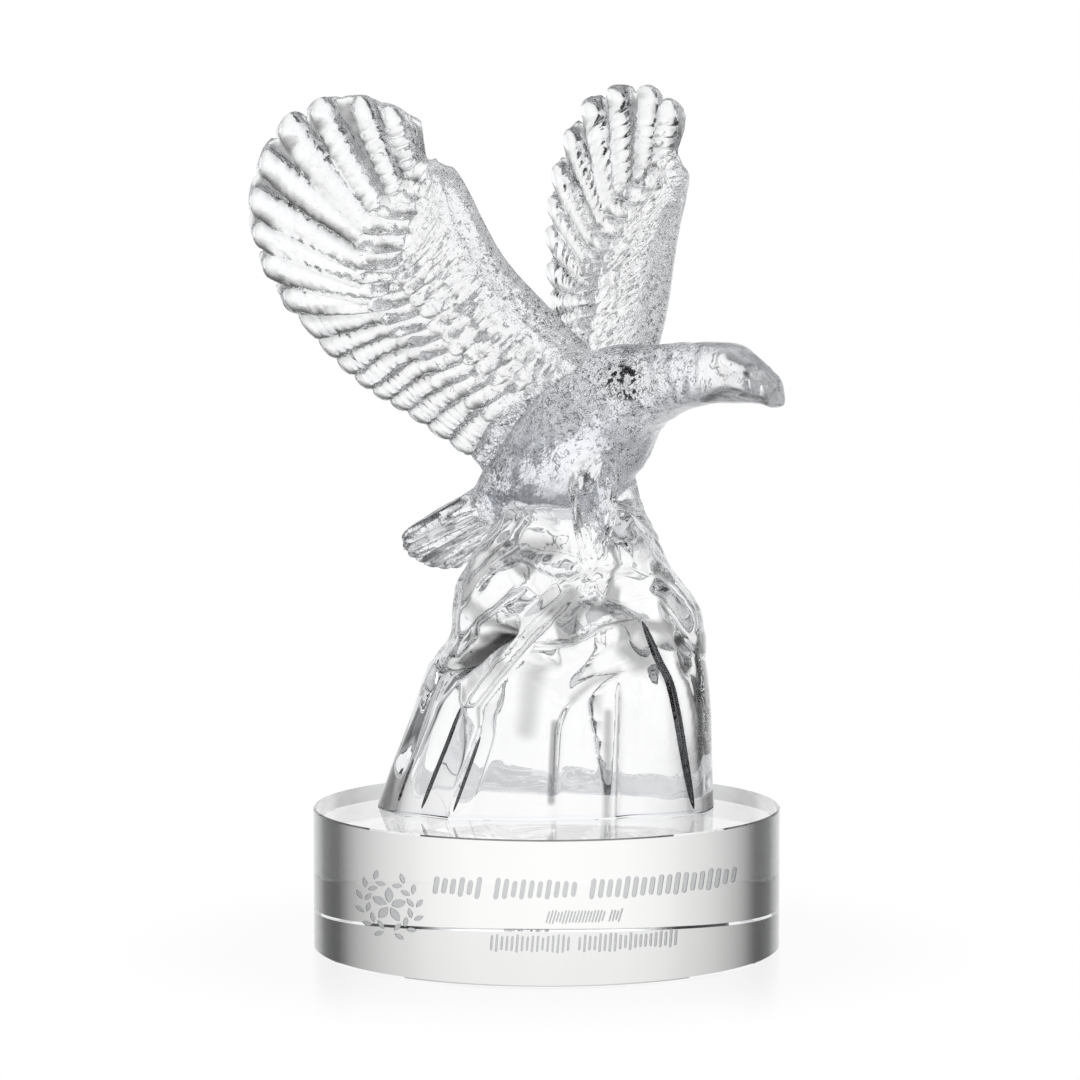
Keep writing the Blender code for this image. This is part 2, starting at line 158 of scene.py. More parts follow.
def award_to_eagle(points):
    """Turn the award's x, y, z back into (ahead, side, height)."""
    x, y, height = apart(points)
    x = x - EAGLE_X
    return together(x * cos(HEADING) - y * sin(HEADING), x * sin(HEADING) + y * cos(HEADING), height)


def triangulate(mesh, turn_out=False):
    """Cut every face into triangles, and if asked turn them all outwards first."""
    form = bmesh.new()
    form.from_mesh(mesh)
    if turn_out:
        bmesh.ops.recalc_face_normals(form, faces=form.faces)
    bmesh.ops.triangulate(form, faces=form.faces)
    form.to_mesh(mesh)
    form.free()


def link_object(name, data):
    thing = bpy.data.objects.new(name, data)
    bpy.context.scene.collection.objects.link(thing)
    return thing


def make_object(name, points, faces):
    """One closed mesh object from points in millimetres, with its faces turned out."""
    mesh = bpy.data.meshes.new(name)
    mesh.from_pydata((np.asarray(points) * MM).tolist(), [], faces)
    triangulate(mesh, turn_out=True)
    mesh.shade_smooth()
    return link_object(name, mesh)


def loft(rings):
    """Points and faces of a closed skin over rings, an array of (ring, point, xyz)."""
    count, around = rings.shape[:2]
    points = rings.reshape(-1, 3)
    faces = []
    for i in range(count - 1):
        for j in range(around):
            k = (j + 1) % around
            faces.append((i * around + j, i * around + k, (i + 1) * around + k, (i + 1) * around + j))
    for first in (0, (count - 1) * around):
        for j in range(around // 2 - 1):
            faces.append((first + j, first + j + 1, first + around - 2 - j, first + around - 1 - j))
    return points, faces


def oval_ring(count, power=2.0):
    """Unit superellipse of count points, starting half a step round from +x."""
    angle = (np.arange(count) + 0.5) * 2 * pi / count
    x = np.sign(np.cos(angle)) * np.abs(np.cos(angle)) ** (2 / power)
    y = np.sign(np.sin(angle)) * np.abs(np.sin(angle)) ** (2 / power)
    return x, y


def push_out(rings, amount):
    """Move the points of closed rings along the skin's own normal by amount millimetres."""
    along = np.gradient(rings, axis=0)
    around = (np.roll(rings, -1, axis=1) - np.roll(rings, 1, axis=1)) / 2
    normal = np.cross(around, along)
    normal = normal / np.maximum(np.linalg.norm(normal, axis=-1, keepdims=True), 1e-9)
    middle = rings.mean(axis=1, keepdims=True)
    sign = np.sign(((rings - middle) * normal).sum())
    return rings + sign * normal * amount[..., None]


# ---------------- rock
# Height, leftmost x, rightmost x, half depth. Its front is on -Y.
ROCK_PROFILE = np.array([
    (38, -46, 45.5, 28.5), (52, -41, 45, 27.5), (64, -36.4, 44.7, 26.5),
    (74, -32.6, 43.8, 25.5), (79, -29.8, 43, 24.8), (85, -25.4, 42.3, 24),
    (92, -24.8, 41, 22.8), (101, -23.5, 35, 20.5), (108, -19, 29.8, 18),
    (114, -13.5, 27, 15.5), (119, -10, 23, 13)])

BLACK_GROOVE = [(25.3, 90.5), (27.6, 85), (29.7, 80), (32.6, 74.2), (34.6, 66), (36.4, 56), (38, 47)]

# Folds of the rock's skin: a line of (x, z) down or across the face, a section of (distance to the
# left of the line, how far it stands out), and how much of that is left at the line's ends.
FRONT_FOLDS = [
    ("long diagonal ridges",
     [(12, 100.5), (5, 98), (0, 92.5), (-5, 86.5), (-10, 80), (-15, 74), (-19, 69)],
     [(0, 3.8), (1.8, 1.2), (3.6, 3.2)], 0.6),
    ("lip over the alcove", [(2.5, 85.6), (6, 86.2), (10, 88), (15, 91), (20, 91.5), (23.5, 89.8)],
     [(0, 4.0), (-2.0, -1.8)], 0.8),
    ("alcove", [(5, 77), (12, 80), (18, 82), (23, 82)], [(0, -3.2)], 0.7),
    ("arch and left edge of the niche",
     [(25.5, 79), (20, 78), (13, 75.4), (8, 72), (4.2, 67.5), (2.2, 62.5), (1.8, 54), (1.2, 46), (1.0, 36)],
     [(0, 1.0), (1.7, -1.9)], 0.7),
    ("middle of the niche", [(22.4, 68), (22.2, 56), (21.6, 36)],
     [(2.4, -0.8), (0, -5.4), (-2.4, -0.8)], 0.9),
    ("right wall of the niche", [(27.6, 77.5), (29.4, 70), (31, 58), (32.6, 47), (33.6, 36)],
     [(0, 2.2)], 0.8),
    ("banks of the black groove", BLACK_GROOVE + [(39.7, 36)], [(-2.4, 2.2), (2.4, 4.0)], 0.8),
    ("right lobe", [(32.5, 88.5), (38, 79), (41.3, 66), (43, 52), (44, 36)], [(0, 3.2)], 0.7),
    ("lens in the lobe", [(33.6, 84.5), (35.2, 80.5), (36, 76)], [(-1.2, 2.0), (0, -1.4), (1.2, 2.4)], 0.6),
    ("upper right crest", [(25.5, 101.5), (30, 97.5), (34.5, 91.5), (39, 86)],
     [(1.5, 3.8), (-1.5, 0.8)], 0.7),
    ("crag under the foot", [(24, 102.5), (19, 104.5), (13, 105.8), (8, 104.2), (3, 103.2), (-1, 105.2),
                             (-6, 107.7), (-12, 104.6), (-16, 98.6), (-20, 91.5), (-24, 85), (-26.5, 79.5)],
     [(0, 3.8), (2.0, 0.6)], 0.8),
    ("bowl over the lip", [(21.5, 94.6), (16, 96), (11, 94.8), (7.5, 91.4)], [(0, -2.2)], 0.9),
    ("hollow on the left", [(-2.5, 96.5), (-6, 99.5), (-10.5, 98.5), (-14, 94)], [(0, -1.2)], 0.7),
    ("rib across it", [(-5, 91.5), (-10, 94.5), (-15, 89.5)], [(0, 3.0)], 0.9),
    ("oblique hollow", [(-10.8, 86.6), (-15, 83.4), (-19.5, 79.6), (-23, 76.8)],
     [(-2.6, 2.0), (0, -4.8), (2.2, 1.8)], 0.7),
    ("bowl under the belly", [(5, 108.8), (-2, 109.6), (-8, 109.2)], [(0, -1.4)], 0.8),
    ("rim under the belly", [(7, 113.5), (-1, 115), (-5, 114.6)], [(0, 2.0)], 0.8),
    ("folds beside the tail", [(-6, 117), (-9, 111.5), (-14, 107), (-19.5, 101)],
     [(-2.6, 1.6), (-1.3, -1.6), (0, 2.0), (1.3, -1.6), (2.6, 1.6)], 0.8),
    ("outer crease", [(-28.6, 76), (-31.6, 68), (-36, 55), (-39.8, 45), (-42.4, 36)], [(0, -2.0)], 0.7),
    ("broad flute", [(-26.2, 68.8), (-30.8, 56.5), (-35.6, 44), (-37.6, 36)],
     [(-2.9, 1.0), (-1.6, 2.8), (0, 3.2), (2.0, 2.6), (3.2, 0.0)], 0.85),
    ("narrow flute", [(-16.6, 61.6), (-20, 51.5), (-23.6, 42), (-25.4, 36)],
     [(-1.5, -0.4), (0, 2.4), (2.6, 1.0), (3.6, 0.4)], 0.8),
    ("plain face", [(-11, 66), (-11, 52), (-11.5, 36)], [(0, 0.5)], 1.0),
]
BACK_FOLDS = [
    ("spine", [(4, 114), (0, 96), (-6, 80), (-12, 60), (-16, 36)],
     [(-2.5, 0.6), (0, 3.6), (2.5, 0.8)], 0.7),
    ("right buttress", [(22, 106), (28, 86), (31, 62), (34, 36)], [(-2, 0.8), (0, 3.0), (3, 0.2)], 0.7),
    ("left buttress", [(-14, 106), (-24, 84), (-31, 62), (-38, 36)], [(-3, 0.2), (0, 2.8), (2, 0.6)], 0.7),
    ("shelf", [(-8, 90), (-1, 87), (8, 86.5), (19, 88.5)], [(1.5, 0.4), (0, 3.0), (-2, -0.8)], 0.8),
    ("cleft", [(16, 101), (12.5, 82), (14, 62), (16, 36)], [(-1.5, 0.8), (0, -2.4), (1.5, 0.8)], 0.6),
    ("left cleft", [(-10, 98), (-18, 77), (-25, 54), (-28, 36)], [(0, -1.8)], 0.6),
]
# The (x, z) sheet that the folds are laid out on, and the step of its grid.
SHEET_LOW = (-52.0, 36.0)
SHEET_HIGH = (52.0, 121.0)
SHEET_STEP = 0.3


def beside(line, distance):
    """The line moved sideways to its left by distance."""
    line = np.array(line, float)
    run = np.gradient(line, axis=0)
    run = run / np.linalg.norm(run, axis=1, keepdims=True)
    return line + distance * together(-run[:, 1], run[:, 0])


def blur(sheet, times):
    """Smooth a sheet a number of times over its nearest points."""
    for _ in range(times):
        for axis in (0, 1):
            edge = np.concatenate([np.take(sheet, [0], axis), sheet, np.take(sheet, [-1], axis)], axis)
            size = sheet.shape[axis]
            low, mid, high = (np.take(edge, range(k, k + size), axis) for k in (0, 1, 2))
            sheet = 0.25 * low + 0.5 * mid + 0.25 * high
    return sheet


def folded_sheet(folds):
    """Height over a grid of (x, z): flat facets between the folds' lines, as broken rock has."""
    points = [(x, z, 0.0) for x in (SHEET_LOW[0] - 4, SHEET_HIGH[0] + 4)
              for z in (SHEET_LOW[1] - 4, 80, SHEET_HIGH[1] + 4)]
    links = []
    for _, line, section, ends in folds:
        along = np.linspace(-1, 1, len(line))
        swell = mix(1.0, ends, np.abs(along) ** 3)
        for distance, out in section:
            moved = beside(line, distance)
            links += [(len(points) + i, len(points) + i + 1) for i in range(len(line) - 1)]
            points += [(x, z, out * k) for (x, z), k in zip(moved, swell)]
    points = np.array(points)
    flat = [tuple(p) for p in points[:, :2]]
    corners, _, cells, sources, _, _ = delaunay_2d_cdt(flat, links, [], 0, 1e-4)
    corners = np.array(corners)
    heights = [points[source, 2].mean() if source else None for source in sources]
    known = np.array([h is not None for h in heights])
    for i in np.nonzero(~known)[0]:
        nearest = np.argmin(np.hypot(*(corners[known] - corners[i]).T))
        heights[i] = np.array(heights)[known][nearest]
    heights = np.array(heights, float)
    xs, zs = (np.arange(low, high, SHEET_STEP) for low, high in zip(SHEET_LOW, SHEET_HIGH))
    sheet = np.zeros((len(xs), len(zs)))
    for cell in cells:
        a, b, c = corners[list(cell)]
        ha, hb, hc = heights[list(cell)]
        low = np.maximum((np.min([a, b, c], axis=0) - SHEET_LOW) / SHEET_STEP, 0).astype(int)
        high = ((np.max([a, b, c], axis=0) - SHEET_LOW) / SHEET_STEP).astype(int) + 2
        x, z = np.meshgrid(xs[low[0]:high[0]], zs[low[1]:high[1]], indexing="ij")
        area = (b[0] - a[0]) * (c[1] - a[1]) - (b[1] - a[1]) * (c[0] - a[0])
        if x.size and abs(area) > 1e-9:
            u = ((x - a[0]) * (c[1] - a[1]) - (z - a[1]) * (c[0] - a[0])) / area
            v = ((b[0] - a[0]) * (z - a[1]) - (b[1] - a[1]) * (x - a[0])) / area
            inside = (u >= -1e-6) & (v >= -1e-6) & (u + v <= 1 + 1e-6)
            sheet[low[0]:high[0], low[1]:high[1]][inside] = (ha + u * (hb - ha) + v * (hc - ha))[inside]
    return sheet


def read_sheet(sheet, x, z):
    """Height of the sheet at each (x, z), between its grid's points."""
    u = np.clip((x - SHEET_LOW[0]) / SHEET_STEP, 0, sheet.shape[0] - 1.001)
    v = np.clip((z - SHEET_LOW[1]) / SHEET_STEP, 0, sheet.shape[1] - 1.001)
    i = u.astype(int)
    j = v.astype(int)
    u = u - i
    v = v - j
    return ((1 - u) * (1 - v) * sheet[i, j] + u * (1 - v) * sheet[i + 1, j]
            + (1 - u) * v * sheet[i, j + 1] + u * v * sheet[i + 1, j + 1])


def alcove_share(x, z):
    """How much of a place is in the smooth alcove and niche, or the plain face left of them."""
    left = np.interp(z, (69, 74, 80, 86.5, 92), (-13.5, -10.5, -5.5, -0.5, 4.5))
    right = np.interp(z, (74, 84), (60, 26))
    return (smooth_step(-1.5, 1.5, x - left) * smooth_step(1.5, -1.5, x - right)
            * smooth_step(86, 82, z))


def distance_to_line(x, z, line):
    """Shortest distance from each (x, z) to a line of straight pieces."""
    best = np.full(np.shape(x), 1e9)
    for (x0, z0), (x1, z1) in zip(line[:-1], line[1:]):
        length = (x1 - x0) ** 2 + (z1 - z0) ** 2
        along = np.clip(((x - x0) * (x1 - x0) + (z - z0) * (z1 - z0)) / length, 0, 1)
        best = np.minimum(best, np.hypot(x - x0 - along * (x1 - x0), z - z0 - along * (z1 - z0)))
    return best


# Slots sunk into the rock's front, their walls painted dark as shade: a line of (x, z), half width and
# depth.
SLOTS = [
    ("black groove", BLACK_GROOVE + [(39.4, 39.5)], 1.2, 4.5),
    ("beside the broad flute", [(-22.9, 67.2), (-26.3, 58), (-30.3, 48), (-33.4, 40)], 0.6, 3.0),
    ("outside the broad flute", [(-35.6, 53), (-38, 47), (-40, 41)], 0.5, 2.2),
    ("beside the narrow flute", [(-17.6, 60), (-20.8, 51), (-24.8, 40)], 0.5, 2.2),
]


def slot_rings(line, half_width, depth, skin, steps=40):
    """Sections along a steep-sided slot sunk from the front into the rock's skin."""
    along = np.linspace(0, 1, steps)
    x, z = evenly_along(line, steps).T
    nearest = [np.argmin(np.hypot(skin[:, 0] - px, skin[:, 2] - pz)) for px, pz in zip(x, z)]
    y = np.convolve(np.pad(skin[nearest, 1], 2, mode="edge"), np.full(5, 0.2), mode="valid")
    fade = dome((2 * along - 1) ** 2, 0.02)
    corners = []
    for width, rise in ((-1.2, 4.0), (1.2, 4.0), (1.0, 0.0), (0.12, -1.0), (-0.12, -1.0), (-1.0, 0.0)):
        sink = -rise if rise >= 0 else depth * fade
        corners.append(together(x + width * half_width * fade, y + sink, z))
    return np.stack(corners, axis=1)


# Shaded places on the front: a line of (x, z), the half width, how dark, and how soft the edge is.
SHADED = [
    ("oblique hollow", [(-22.5, 76.6), (-18, 80.2), (-13.5, 84.4)], 2.5, 0.80, 0.25),
    ("lens above it", [(-19.6, 85.2), (-16.8, 86.8)], 0.8, 0.5, 0.4),
    ("lens in the lobe", [(33.9, 85.6), (35.2, 81), (36.2, 77.2)], 1.2, 0.86, 0.3),
    ("ring below the foot", [(26.4, 103.4), (27.2, 104.6)], 0.9, 0.6, 0.4),
    ("niche's left edge", [(2.2, 63.5), (1.6, 54), (1.2, 43)], 0.9, 0.30, 0.6),
    ("left of the niche's middle", [(16.8, 66), (16.7, 54), (16.4, 37)], 0.9, 0.24, 0.9),
    ("right of the niche's middle", [(20.4, 65), (20.2, 54), (19.8, 37)], 0.7, 0.18, 0.9),
    ("under the arch", [(7, 70), (12, 74.4), (19, 76.8)], 1.2, 0.16, 0.9),
    ("right end of the alcove", [(23, 82.6), (25.4, 79.6)], 2.6, 0.30, 0.9),
    ("plain face", [(-2.6, 77), (-4.0, 70), (-5.2, 62)], 2.3, 0.17, 0.95),
    ("under the belly", [(-4.5, 109.6), (1.5, 109.2)], 2.2, 0.26, 0.9),
    ("beside the tail", [(-10.4, 109.8), (-9.4, 112.4), (-8, 115.2)], 0.6, 0.6, 0.5),
    ("outer streak", [(-28, 77), (-31, 68), (-36, 54), (-40, 44)], 0.8, 0.42, 0.6),
    ("left bank of the groove", [(24, 88), (27.6, 79.5), (30.6, 73.5), (32.8, 65), (34.5, 55), (37.4, 38)],
     0.8, 0.26, 0.9),
    ("right bank of the groove", [(31.8, 79), (34.6, 73.4), (36.6, 65), (38.3, 55), (41.2, 38)],
     0.45, 0.32, 0.6),
    ("right pillar", [(40.8, 66), (41.6, 58)], 0.8, 0.22, 0.8)]


def shaded_places(x, z):
    """The shade of the named places on the rock's front, streaked along the diagonal of its folds."""
    along = 0.78 * x + 0.63 * z
    across = 0.78 * z - 0.63 * x
    streaks = noise(together(0.22 * along, across, 0.0), 1.5, 17)
    total = np.zeros(np.shape(x))
    for _, line, half_width, dark, soft in SHADED:
        share = smooth_step(1 + soft, 1 - soft, distance_to_line(x, z, line) / half_width)
        streaky = mix(1.0, 0.5 + 0.5 * smooth_step(-0.35, 0.15, streaks), smooth_step(0.70, 0.75, dark))
        total = np.maximum(total, dark * share * streaky)
    return total


def rock_plan(height):
    """The plain rock's middle, half width and half depth at each height."""
    _, left, right, depth = apart(through(ROCK_PROFILE[:, 0], ROCK_PROFILE, height))
    return (left + right) / 2, (right - left) / 2, depth


def rock_rings():
    """Rings up the carved rock, their points closest on its front, and the shade in its folds."""
    levels = np.concatenate([ROCK_BOTTOM + np.array([0.0, 0.35, 0.8, 1.1]),
                             np.linspace(ROCK_BOTTOM + 1.7, ROCK_TOP, 112)])
    turn = (np.arange(ROCK_SIDES) + 0.5) * 2 * pi / ROCK_SIDES
    angle, height = np.meshgrid(turn - FRONT_CROWDING * np.cos(turn), levels)
    middle, half, depth = rock_plan(height)
    radius = ((np.abs(np.cos(angle)) / half) ** ROCK_POWER
              + (np.abs(np.sin(angle)) / depth) ** ROCK_POWER) ** (-1 / ROCK_POWER)
    x = middle + radius * np.cos(angle)
    y = radius * np.sin(angle)
    place = together(x, y, height)
    facing_front = smooth_step(0.1, 0.7, -np.sin(angle))
    facing_back = smooth_step(0.1, 0.5, np.sin(angle))
    alcove = alcove_share(x, height)
    front = folded_sheet(FRONT_FOLDS)
    boldness = 1.4 + 0.2 * smooth_step(66, 74, height)
    crisp = boldness * read_sheet(blur(front, 4), x, height) - 0.8 * smooth_step(66, 74, height)
    relief = facing_front * mix(crisp, 1.15 * read_sheet(blur(front, 24), x, height), 0.9 * alcove)
    relief += facing_back * read_sheet(blur(folded_sheet(BACK_FOLDS), 4), x, height)
    relief *= 1 - 0.6 * smooth_step(113, ROCK_TOP, height)
    craggy = smooth_step(64, 76, height) * (1 - alcove)
    stretched = place * (1.0, 1.0, 0.6)
    coarse = 1 - 2 * np.abs(noise(stretched, 9.0, 13))
    fine = 1 - 2 * np.abs(noise(stretched, 4.4, 14))
    relief += craggy * (0.5 * coarse + 0.4 * fine)
    radius = radius + relief
    # painted shade: darker where the folds sink below their smoothed surface, dark swirls on the upper
    # front, and the named shaded places
    sunk = read_sheet(blur(front, 30) - blur(front, 4), x, height)
    upper = smooth_step(70, 84, height)
    shade = (0.42 + 0.16 * upper) * smooth_step(0.3, 1.4, sunk) * (1 - 0.8 * alcove)
    swirl_shade = smooth_step(0.25, 0.10, np.abs(noise(stretched, 6.5, 15)))
    shade = np.maximum(shade, 0.30 * upper * swirl_shade * (1 - alcove) * smooth_step(114, 108, height))
    shade = facing_front * np.maximum(shade, shaded_places(x, height))
    return together(middle + radius * np.cos(angle), radius * np.sin(angle), height), shade


# ---------------- body, neck and head
BODY_STATIONS = np.array([
    (-29, 121, 6.5, 6), (-26, 121.5, 8.5, 8.5), (-20, 124.5, 11.5, 11),
    (-10, 130, 15, 14.2), (0, 136, 18, 15.9), (9, 140.5, 20.5, 15.4),
    (17, 145.5, 18, 14), (25, 151.2, 12, 12.3), (33, 154.3, 9.6, 10.7),
    (41, 155.9, 8.5, 9.3), (48, 156.5, 8.1, 8.2), (55, 156.2, 7.6, 7.3),
    (60, 154.8, 6.1, 5.4), (62, 154.1, 5.5, 4.8), (64, 153.2, 4.8, 4.4),
    (67, 151.4, 3.7, 3.8), (68.6, 149.9, 1.8, 2)])

# Lines and places on the head as (ahead, height).
MOUTH = [(47.5, 149.4), (52.5, 151.2), (57.0, 152.0), (61.0, 150.9), (66.0, 149.9)]
BROW = [(56.0, 160.3), (59.5, 158.4), (62.5, 157.3)]
CERE = [(62.0, 158.6), (61.3, 155.0), (61.8, 152.0)]
EYE = (61.0, 156.6)
NOSTRIL = (63.6, 155.0)


def body_rings(count=150, around=64):
    """Round rings from the rump to the tip of the beak, with the head's features."""
    ahead = evenly_along(BODY_STATIONS[:, 0], count)
    station = through(BODY_STATIONS[:, 0], BODY_STATIONS, ahead)
    side, up = oval_ring(around)
    neck = smooth_step(22, 34, ahead)[:, None]
    head = smooth_step(42, 47, ahead)[:, None]
    flat_side, flat_up = oval_ring(around, 2.8)
    flatness = np.maximum(0.9 * smooth_step(-24, -10, ahead)[:, None], head)
    side = mix(side, flat_side, flatness)
    up = mix(up, flat_up, flatness)
    rings = together(station[:, 0:1], station[:, 3:4] * side, station[:, 1:2] + station[:, 2:3] * up)
    a, _, h = apart(rings)
    beak = smooth_step(60, 63, a)
    detail = 0.35 * noise(rings, 2.0, 21) + 0.40 * noise(rings, 4.6, 22)
    detail *= (1 - 0.75 * neck) * (1 - head)
    detail += 0.20 * noise(rings * (1, 0.25, 0.25), 1.9, 23) * neck * (1 - head)
    side_face = smooth_step(0.35, 0.8, np.abs(side)) * head
    detail -= 1.2 * side_face * bell(distance_to_line(a, h, MOUTH), 0.75)
    detail += 0.9 * side_face * bell(distance_to_line(a, h, BROW), 1.1)
    detail -= 0.6 * side_face * bell(distance_to_line(a, h, CERE), 0.7)
    eye = np.hypot(a - EYE[0], h - EYE[1])
    detail += side_face * (-0.8 * bell(eye, 1.7) + 1.0 * bell(eye, 0.9))
    detail -= 0.5 * side_face * bell(np.hypot(a - NOSTRIL[0], h - NOSTRIL[1]), 0.6)
    detail *= 1 - 0.6 * beak
    return push_out(eagle_to_award(rings), detail)


# ---------------- tail
TAIL_ROOT = (-19.0, 0.0, 122.8)
TAIL_TIP = (-54.5, 0.0, 102.3)
TAIL_ROLL = radians(23.0)
TAIL_ROOT_HALF_WIDTH = 8.5
TAIL_TIP_HALF_WIDTH = 13.8
TAIL_FEATHERS = 7
TAIL_HALF_THICKNESS = (4.4, 2.8) # at its root and tip
TAIL_RIDGE = 0.7                 # of each feather's crest over the grooves beside it


def tail_rings(across=85, along=30):
    """Rings round the fan, each going out over the top and back, and the shade in its grooves."""
    root = np.array(TAIL_ROOT)
    run = np.array(TAIL_TIP) - root
    length = np.linalg.norm(run)
    run = run / length
    sideways = np.array([0.0, cos(TAIL_ROLL), -sin(TAIL_ROLL)])
    up = np.cross(run, sideways)
    up = up * np.sign(up[2])
    place = np.linspace(-1, 1, across)
    in_feather = (place + 1) / 2 * TAIL_FEATHERS
    x = 2 * (in_feather - np.floor(np.minimum(in_feather, TAIL_FEATHERS - 1e-6))) - 1
    crest = dome(x)
    reach = length * (1 - 0.16 * np.abs(place) ** 2.5) - 1.3 * (1 - crest)
    edge = dome(np.abs(place) ** 3, 0.06)
    t = (1 - np.cos(np.linspace(0, pi, along))) / 2
    rings = []
    for i in range(across):
        half_width = mix(TAIL_ROOT_HALF_WIDTH, TAIL_TIP_HALF_WIDTH, t)
        thick = mix(TAIL_HALF_THICKNESS[0], TAIL_HALF_THICKNESS[1], t)
        thick = (thick - 2.2 * TAIL_RIDGE * (1 - crest[i])) * edge[i]
        thick = thick * dome(smooth_step(0.86, 1.0, t), 0.01)
        line = root + np.outer(t * reach[i], run) + np.outer(place[i] * half_width, sideways)
        top = line + np.outer(thick, up)
        under = line - np.outer(thick, up)
        rings.append(np.concatenate([top, under[::-1]]))
    rings = np.array(rings)
    down = (rings - root) @ run
    aside = (rings - root) @ sideways
    above = (rings - root) @ up
    streaks = noise(together(0.12 * down, aside - 0.11 * aside * down / length, above), 1.25, 31)
    pebbles = noise(rings, 1.8, 32)
    tip = smooth_step(-34, -46, rings[..., 0])
    edge_fade = edge[:, None] ** 2
    shade = np.maximum(0.34 * smooth_step(0.15, 0.6, -streaks),
                       0.34 * smooth_step(0.55, 0.15, crest)[:, None]) * edge_fade
    return push_out(eagle_to_award(rings), (0.36 * streaks + 0.10 * tip * pebbles) * edge_fade), shade


# ---------------- legs
NEAR_LEG = np.array([(15.5, -8.5, 136, 6.5, 5), (16.5, -11.4, 130, 7.4, 4.8),
                     (17.9, -13.2, 123, 6.6, 4.6), (18.2, -13.4, 117, 5.8, 4.2),
                     (17.4, -13, 112, 3.8, 3.6), (17, -12.8, 106, 2.2, 2.6)])
FAR_LEG = np.array([(9.5, 6, 137, 6.5, 6), (9.4, 7.5, 130, 5.4, 5),
                    (10, 8.3, 124, 4.9, 4.6), (12.3, 8.8, 117, 5.2, 5),
                    (15, 9, 110, 6.2, 6), (17, 9, 102, 8, 8)])


def leg_rings(stations, count=44, around=60):
    """Level rings down a leg, with shaggy feathers that run down it, and the shade between them."""
    station = evenly_along(stations, count)
    along, side = oval_ring(around, 2.8)
    rings = together(station[:, 0:1] + station[:, 3:4] * along,
                     station[:, 1:2] + station[:, 4:5] * side, station[:, 2:3])
    fine = noise(rings * (1, 1, 0.12), 0.95, 41)
    coarse = noise(rings * (1, 1, 0.14), 2.6, 42)
    feathery = smooth_step(103, 108, rings[..., 2])
    shade = 0.32 * smooth_step(0.55, 0.8, -fine - 0.3 * along) * feathery
    return push_out(eagle_to_award(rings), (0.6 * fine + 0.35 * coarse) * feathery), shade


# ---------------- wings
LEAD_RAIL = np.array([(0, 61.5, -21), (2, 59, -23), (4, 56.5, -25.2), (6, 50.5, -24),
                      (8, 43.5, -21.2), (11, 32, -17.6), (15, 15, -15.8), (19, -3, -13.4)])
COVERT_RAIL = np.array([(0, 62.5, -20.8), (2, 56.5, -10.5), (4, 51.5, -1), (6, 47, 8.5),
                        (8, 41.5, 13.6), (11, 29.5, 15.8), (15, 12, 17.4), (19, -7.6, 10)])
QUILL_RAIL = np.array([(0, 64, -21.5), (1.5, 62.2, -7.5), (3.5, 61.5, 9.6), (5.5, 55.5, 20.2),
                       (7.5, 48.8, 25.4), (9.5, 41, 29), (13, 25, 29.6), (16, 9, 30),
                       (19, -8.6, 25)])
TIP_RAIL = np.array([(0, 72, -28.5), (1.5, 85, -15), (3.5, 93, 12.3), (5.5, 85.5, 37),
                     (7.5, 70.4, 47.4), (9.5, 51, 49), (12.5, 30, 48.4), (15.5, 12.8, 44.8),
                     (19, -14, 43.8)])
RAIL_PLACES = (0.0, 0.34, 0.55, 1.0)

SPAN_BEND = -2.99e-3             # lift for each square millimetre of span
CHORD_BEND = 1.91e-3
PRIMARY_NOTCH = 4.6              # how far the gaps between the tips run in
SECONDARY_NOTCH = 1.2
WRIST_SPAN = 48.0                # where the wrist's swell on the leading edge is, and how wide
WRIST_WIDTH = 16.0

# Shoulder (ahead, side, height), the wing's sweep, rise and twist, its hand, and its wrist's swell.
NEAR_WING = ((3.5, -12.8, 158.0), radians(31.6), radians(36.0), radians(14.2), 1, 0.9)
FAR_WING = ((6.8, -13.0, 153.3), radians(17.9), radians(50.4), radians(26.6), -1, -2.0)
TIP_MARGIN = 0.3                 # the feathers' tips stop this far inside the CAD's

# Depth of the gap after each primary, as a share of PRIMARY_NOTCH.
NEAR_GAPS = (0.05, 0.1, 0.6, 0.45, 0.25, 0.2, 0.65, 0.65, 0.45)
FAR_GAPS = (0.5, 0.4, 0.4, 0.65, 0.75, 0.65, 0.65, 0.65, 0.5)

PRIMARY_COLUMNS = 9              # columns of the mesh to a feather
SECONDARY_COLUMNS = 7
WING_ROWS = 78

# The primaries as bolsters on the wing: tip and root in (span, chord), half width, ripple height
# and how much of a ball its tip is.
PRIMARY_AXES = [
    ((77.5, -22.0), (62.0, -14.0), 4.3, 0.34, 0.0), ((82.5, -14.0), (61.5, -5.0), 4.4, 0.36, 0.0),
    ((89.7, -0.6), (60.0, 4.0), 4.7, 0.32, 1.0), ((91.0, 12.4), (59.5, 10.3), 5.6, 0.16, 1.0),
    ((87.0, 25.3), (58.5, 14.5), 4.4, 0.24, 0.3), ((81.5, 35.3), (56.5, 21.5), 4.6, 0.16, 0.3),
    ((75.5, 41.0), (52.0, 24.8), 3.8, 0.10, 0.2), ((68.3, 44.5), (47.5, 26.5), 3.9, 0.14, 1.0),
    ((58.8, 46.5), (43.5, 28.0), 3.6, 0.14, 0.8)]
# Where the wing meets the body, as (chord, span).
BODY_SIDE = [(-10, -7), (2, -4), (18, -1.5), (26, -1.5), (34, -3.5), (44, -11)]
WEB = 0.75                       # half thickness between the bolsters
PRIMARY_RISE = 2.2               # how far a bolster's crest stands above the web
SECONDARY_RISE = 1.15

# Tiers of coverts from the flight feathers inwards: where the tier ends (0 leading edge, 1 tip),
# feathers to a flight feather, half thickness in its grooves, and the rise of its crests.
COVERT_TIERS = [(0.555, 1.0, 1.9, 1.6), (0.35, 1.0, 2.5, 1.25), (0.265, 1.4, 2.9, 0.95),
                (0.195, 1.7, 3.2, 0.75), (0.135, 2.1, 3.4, 0.5)]


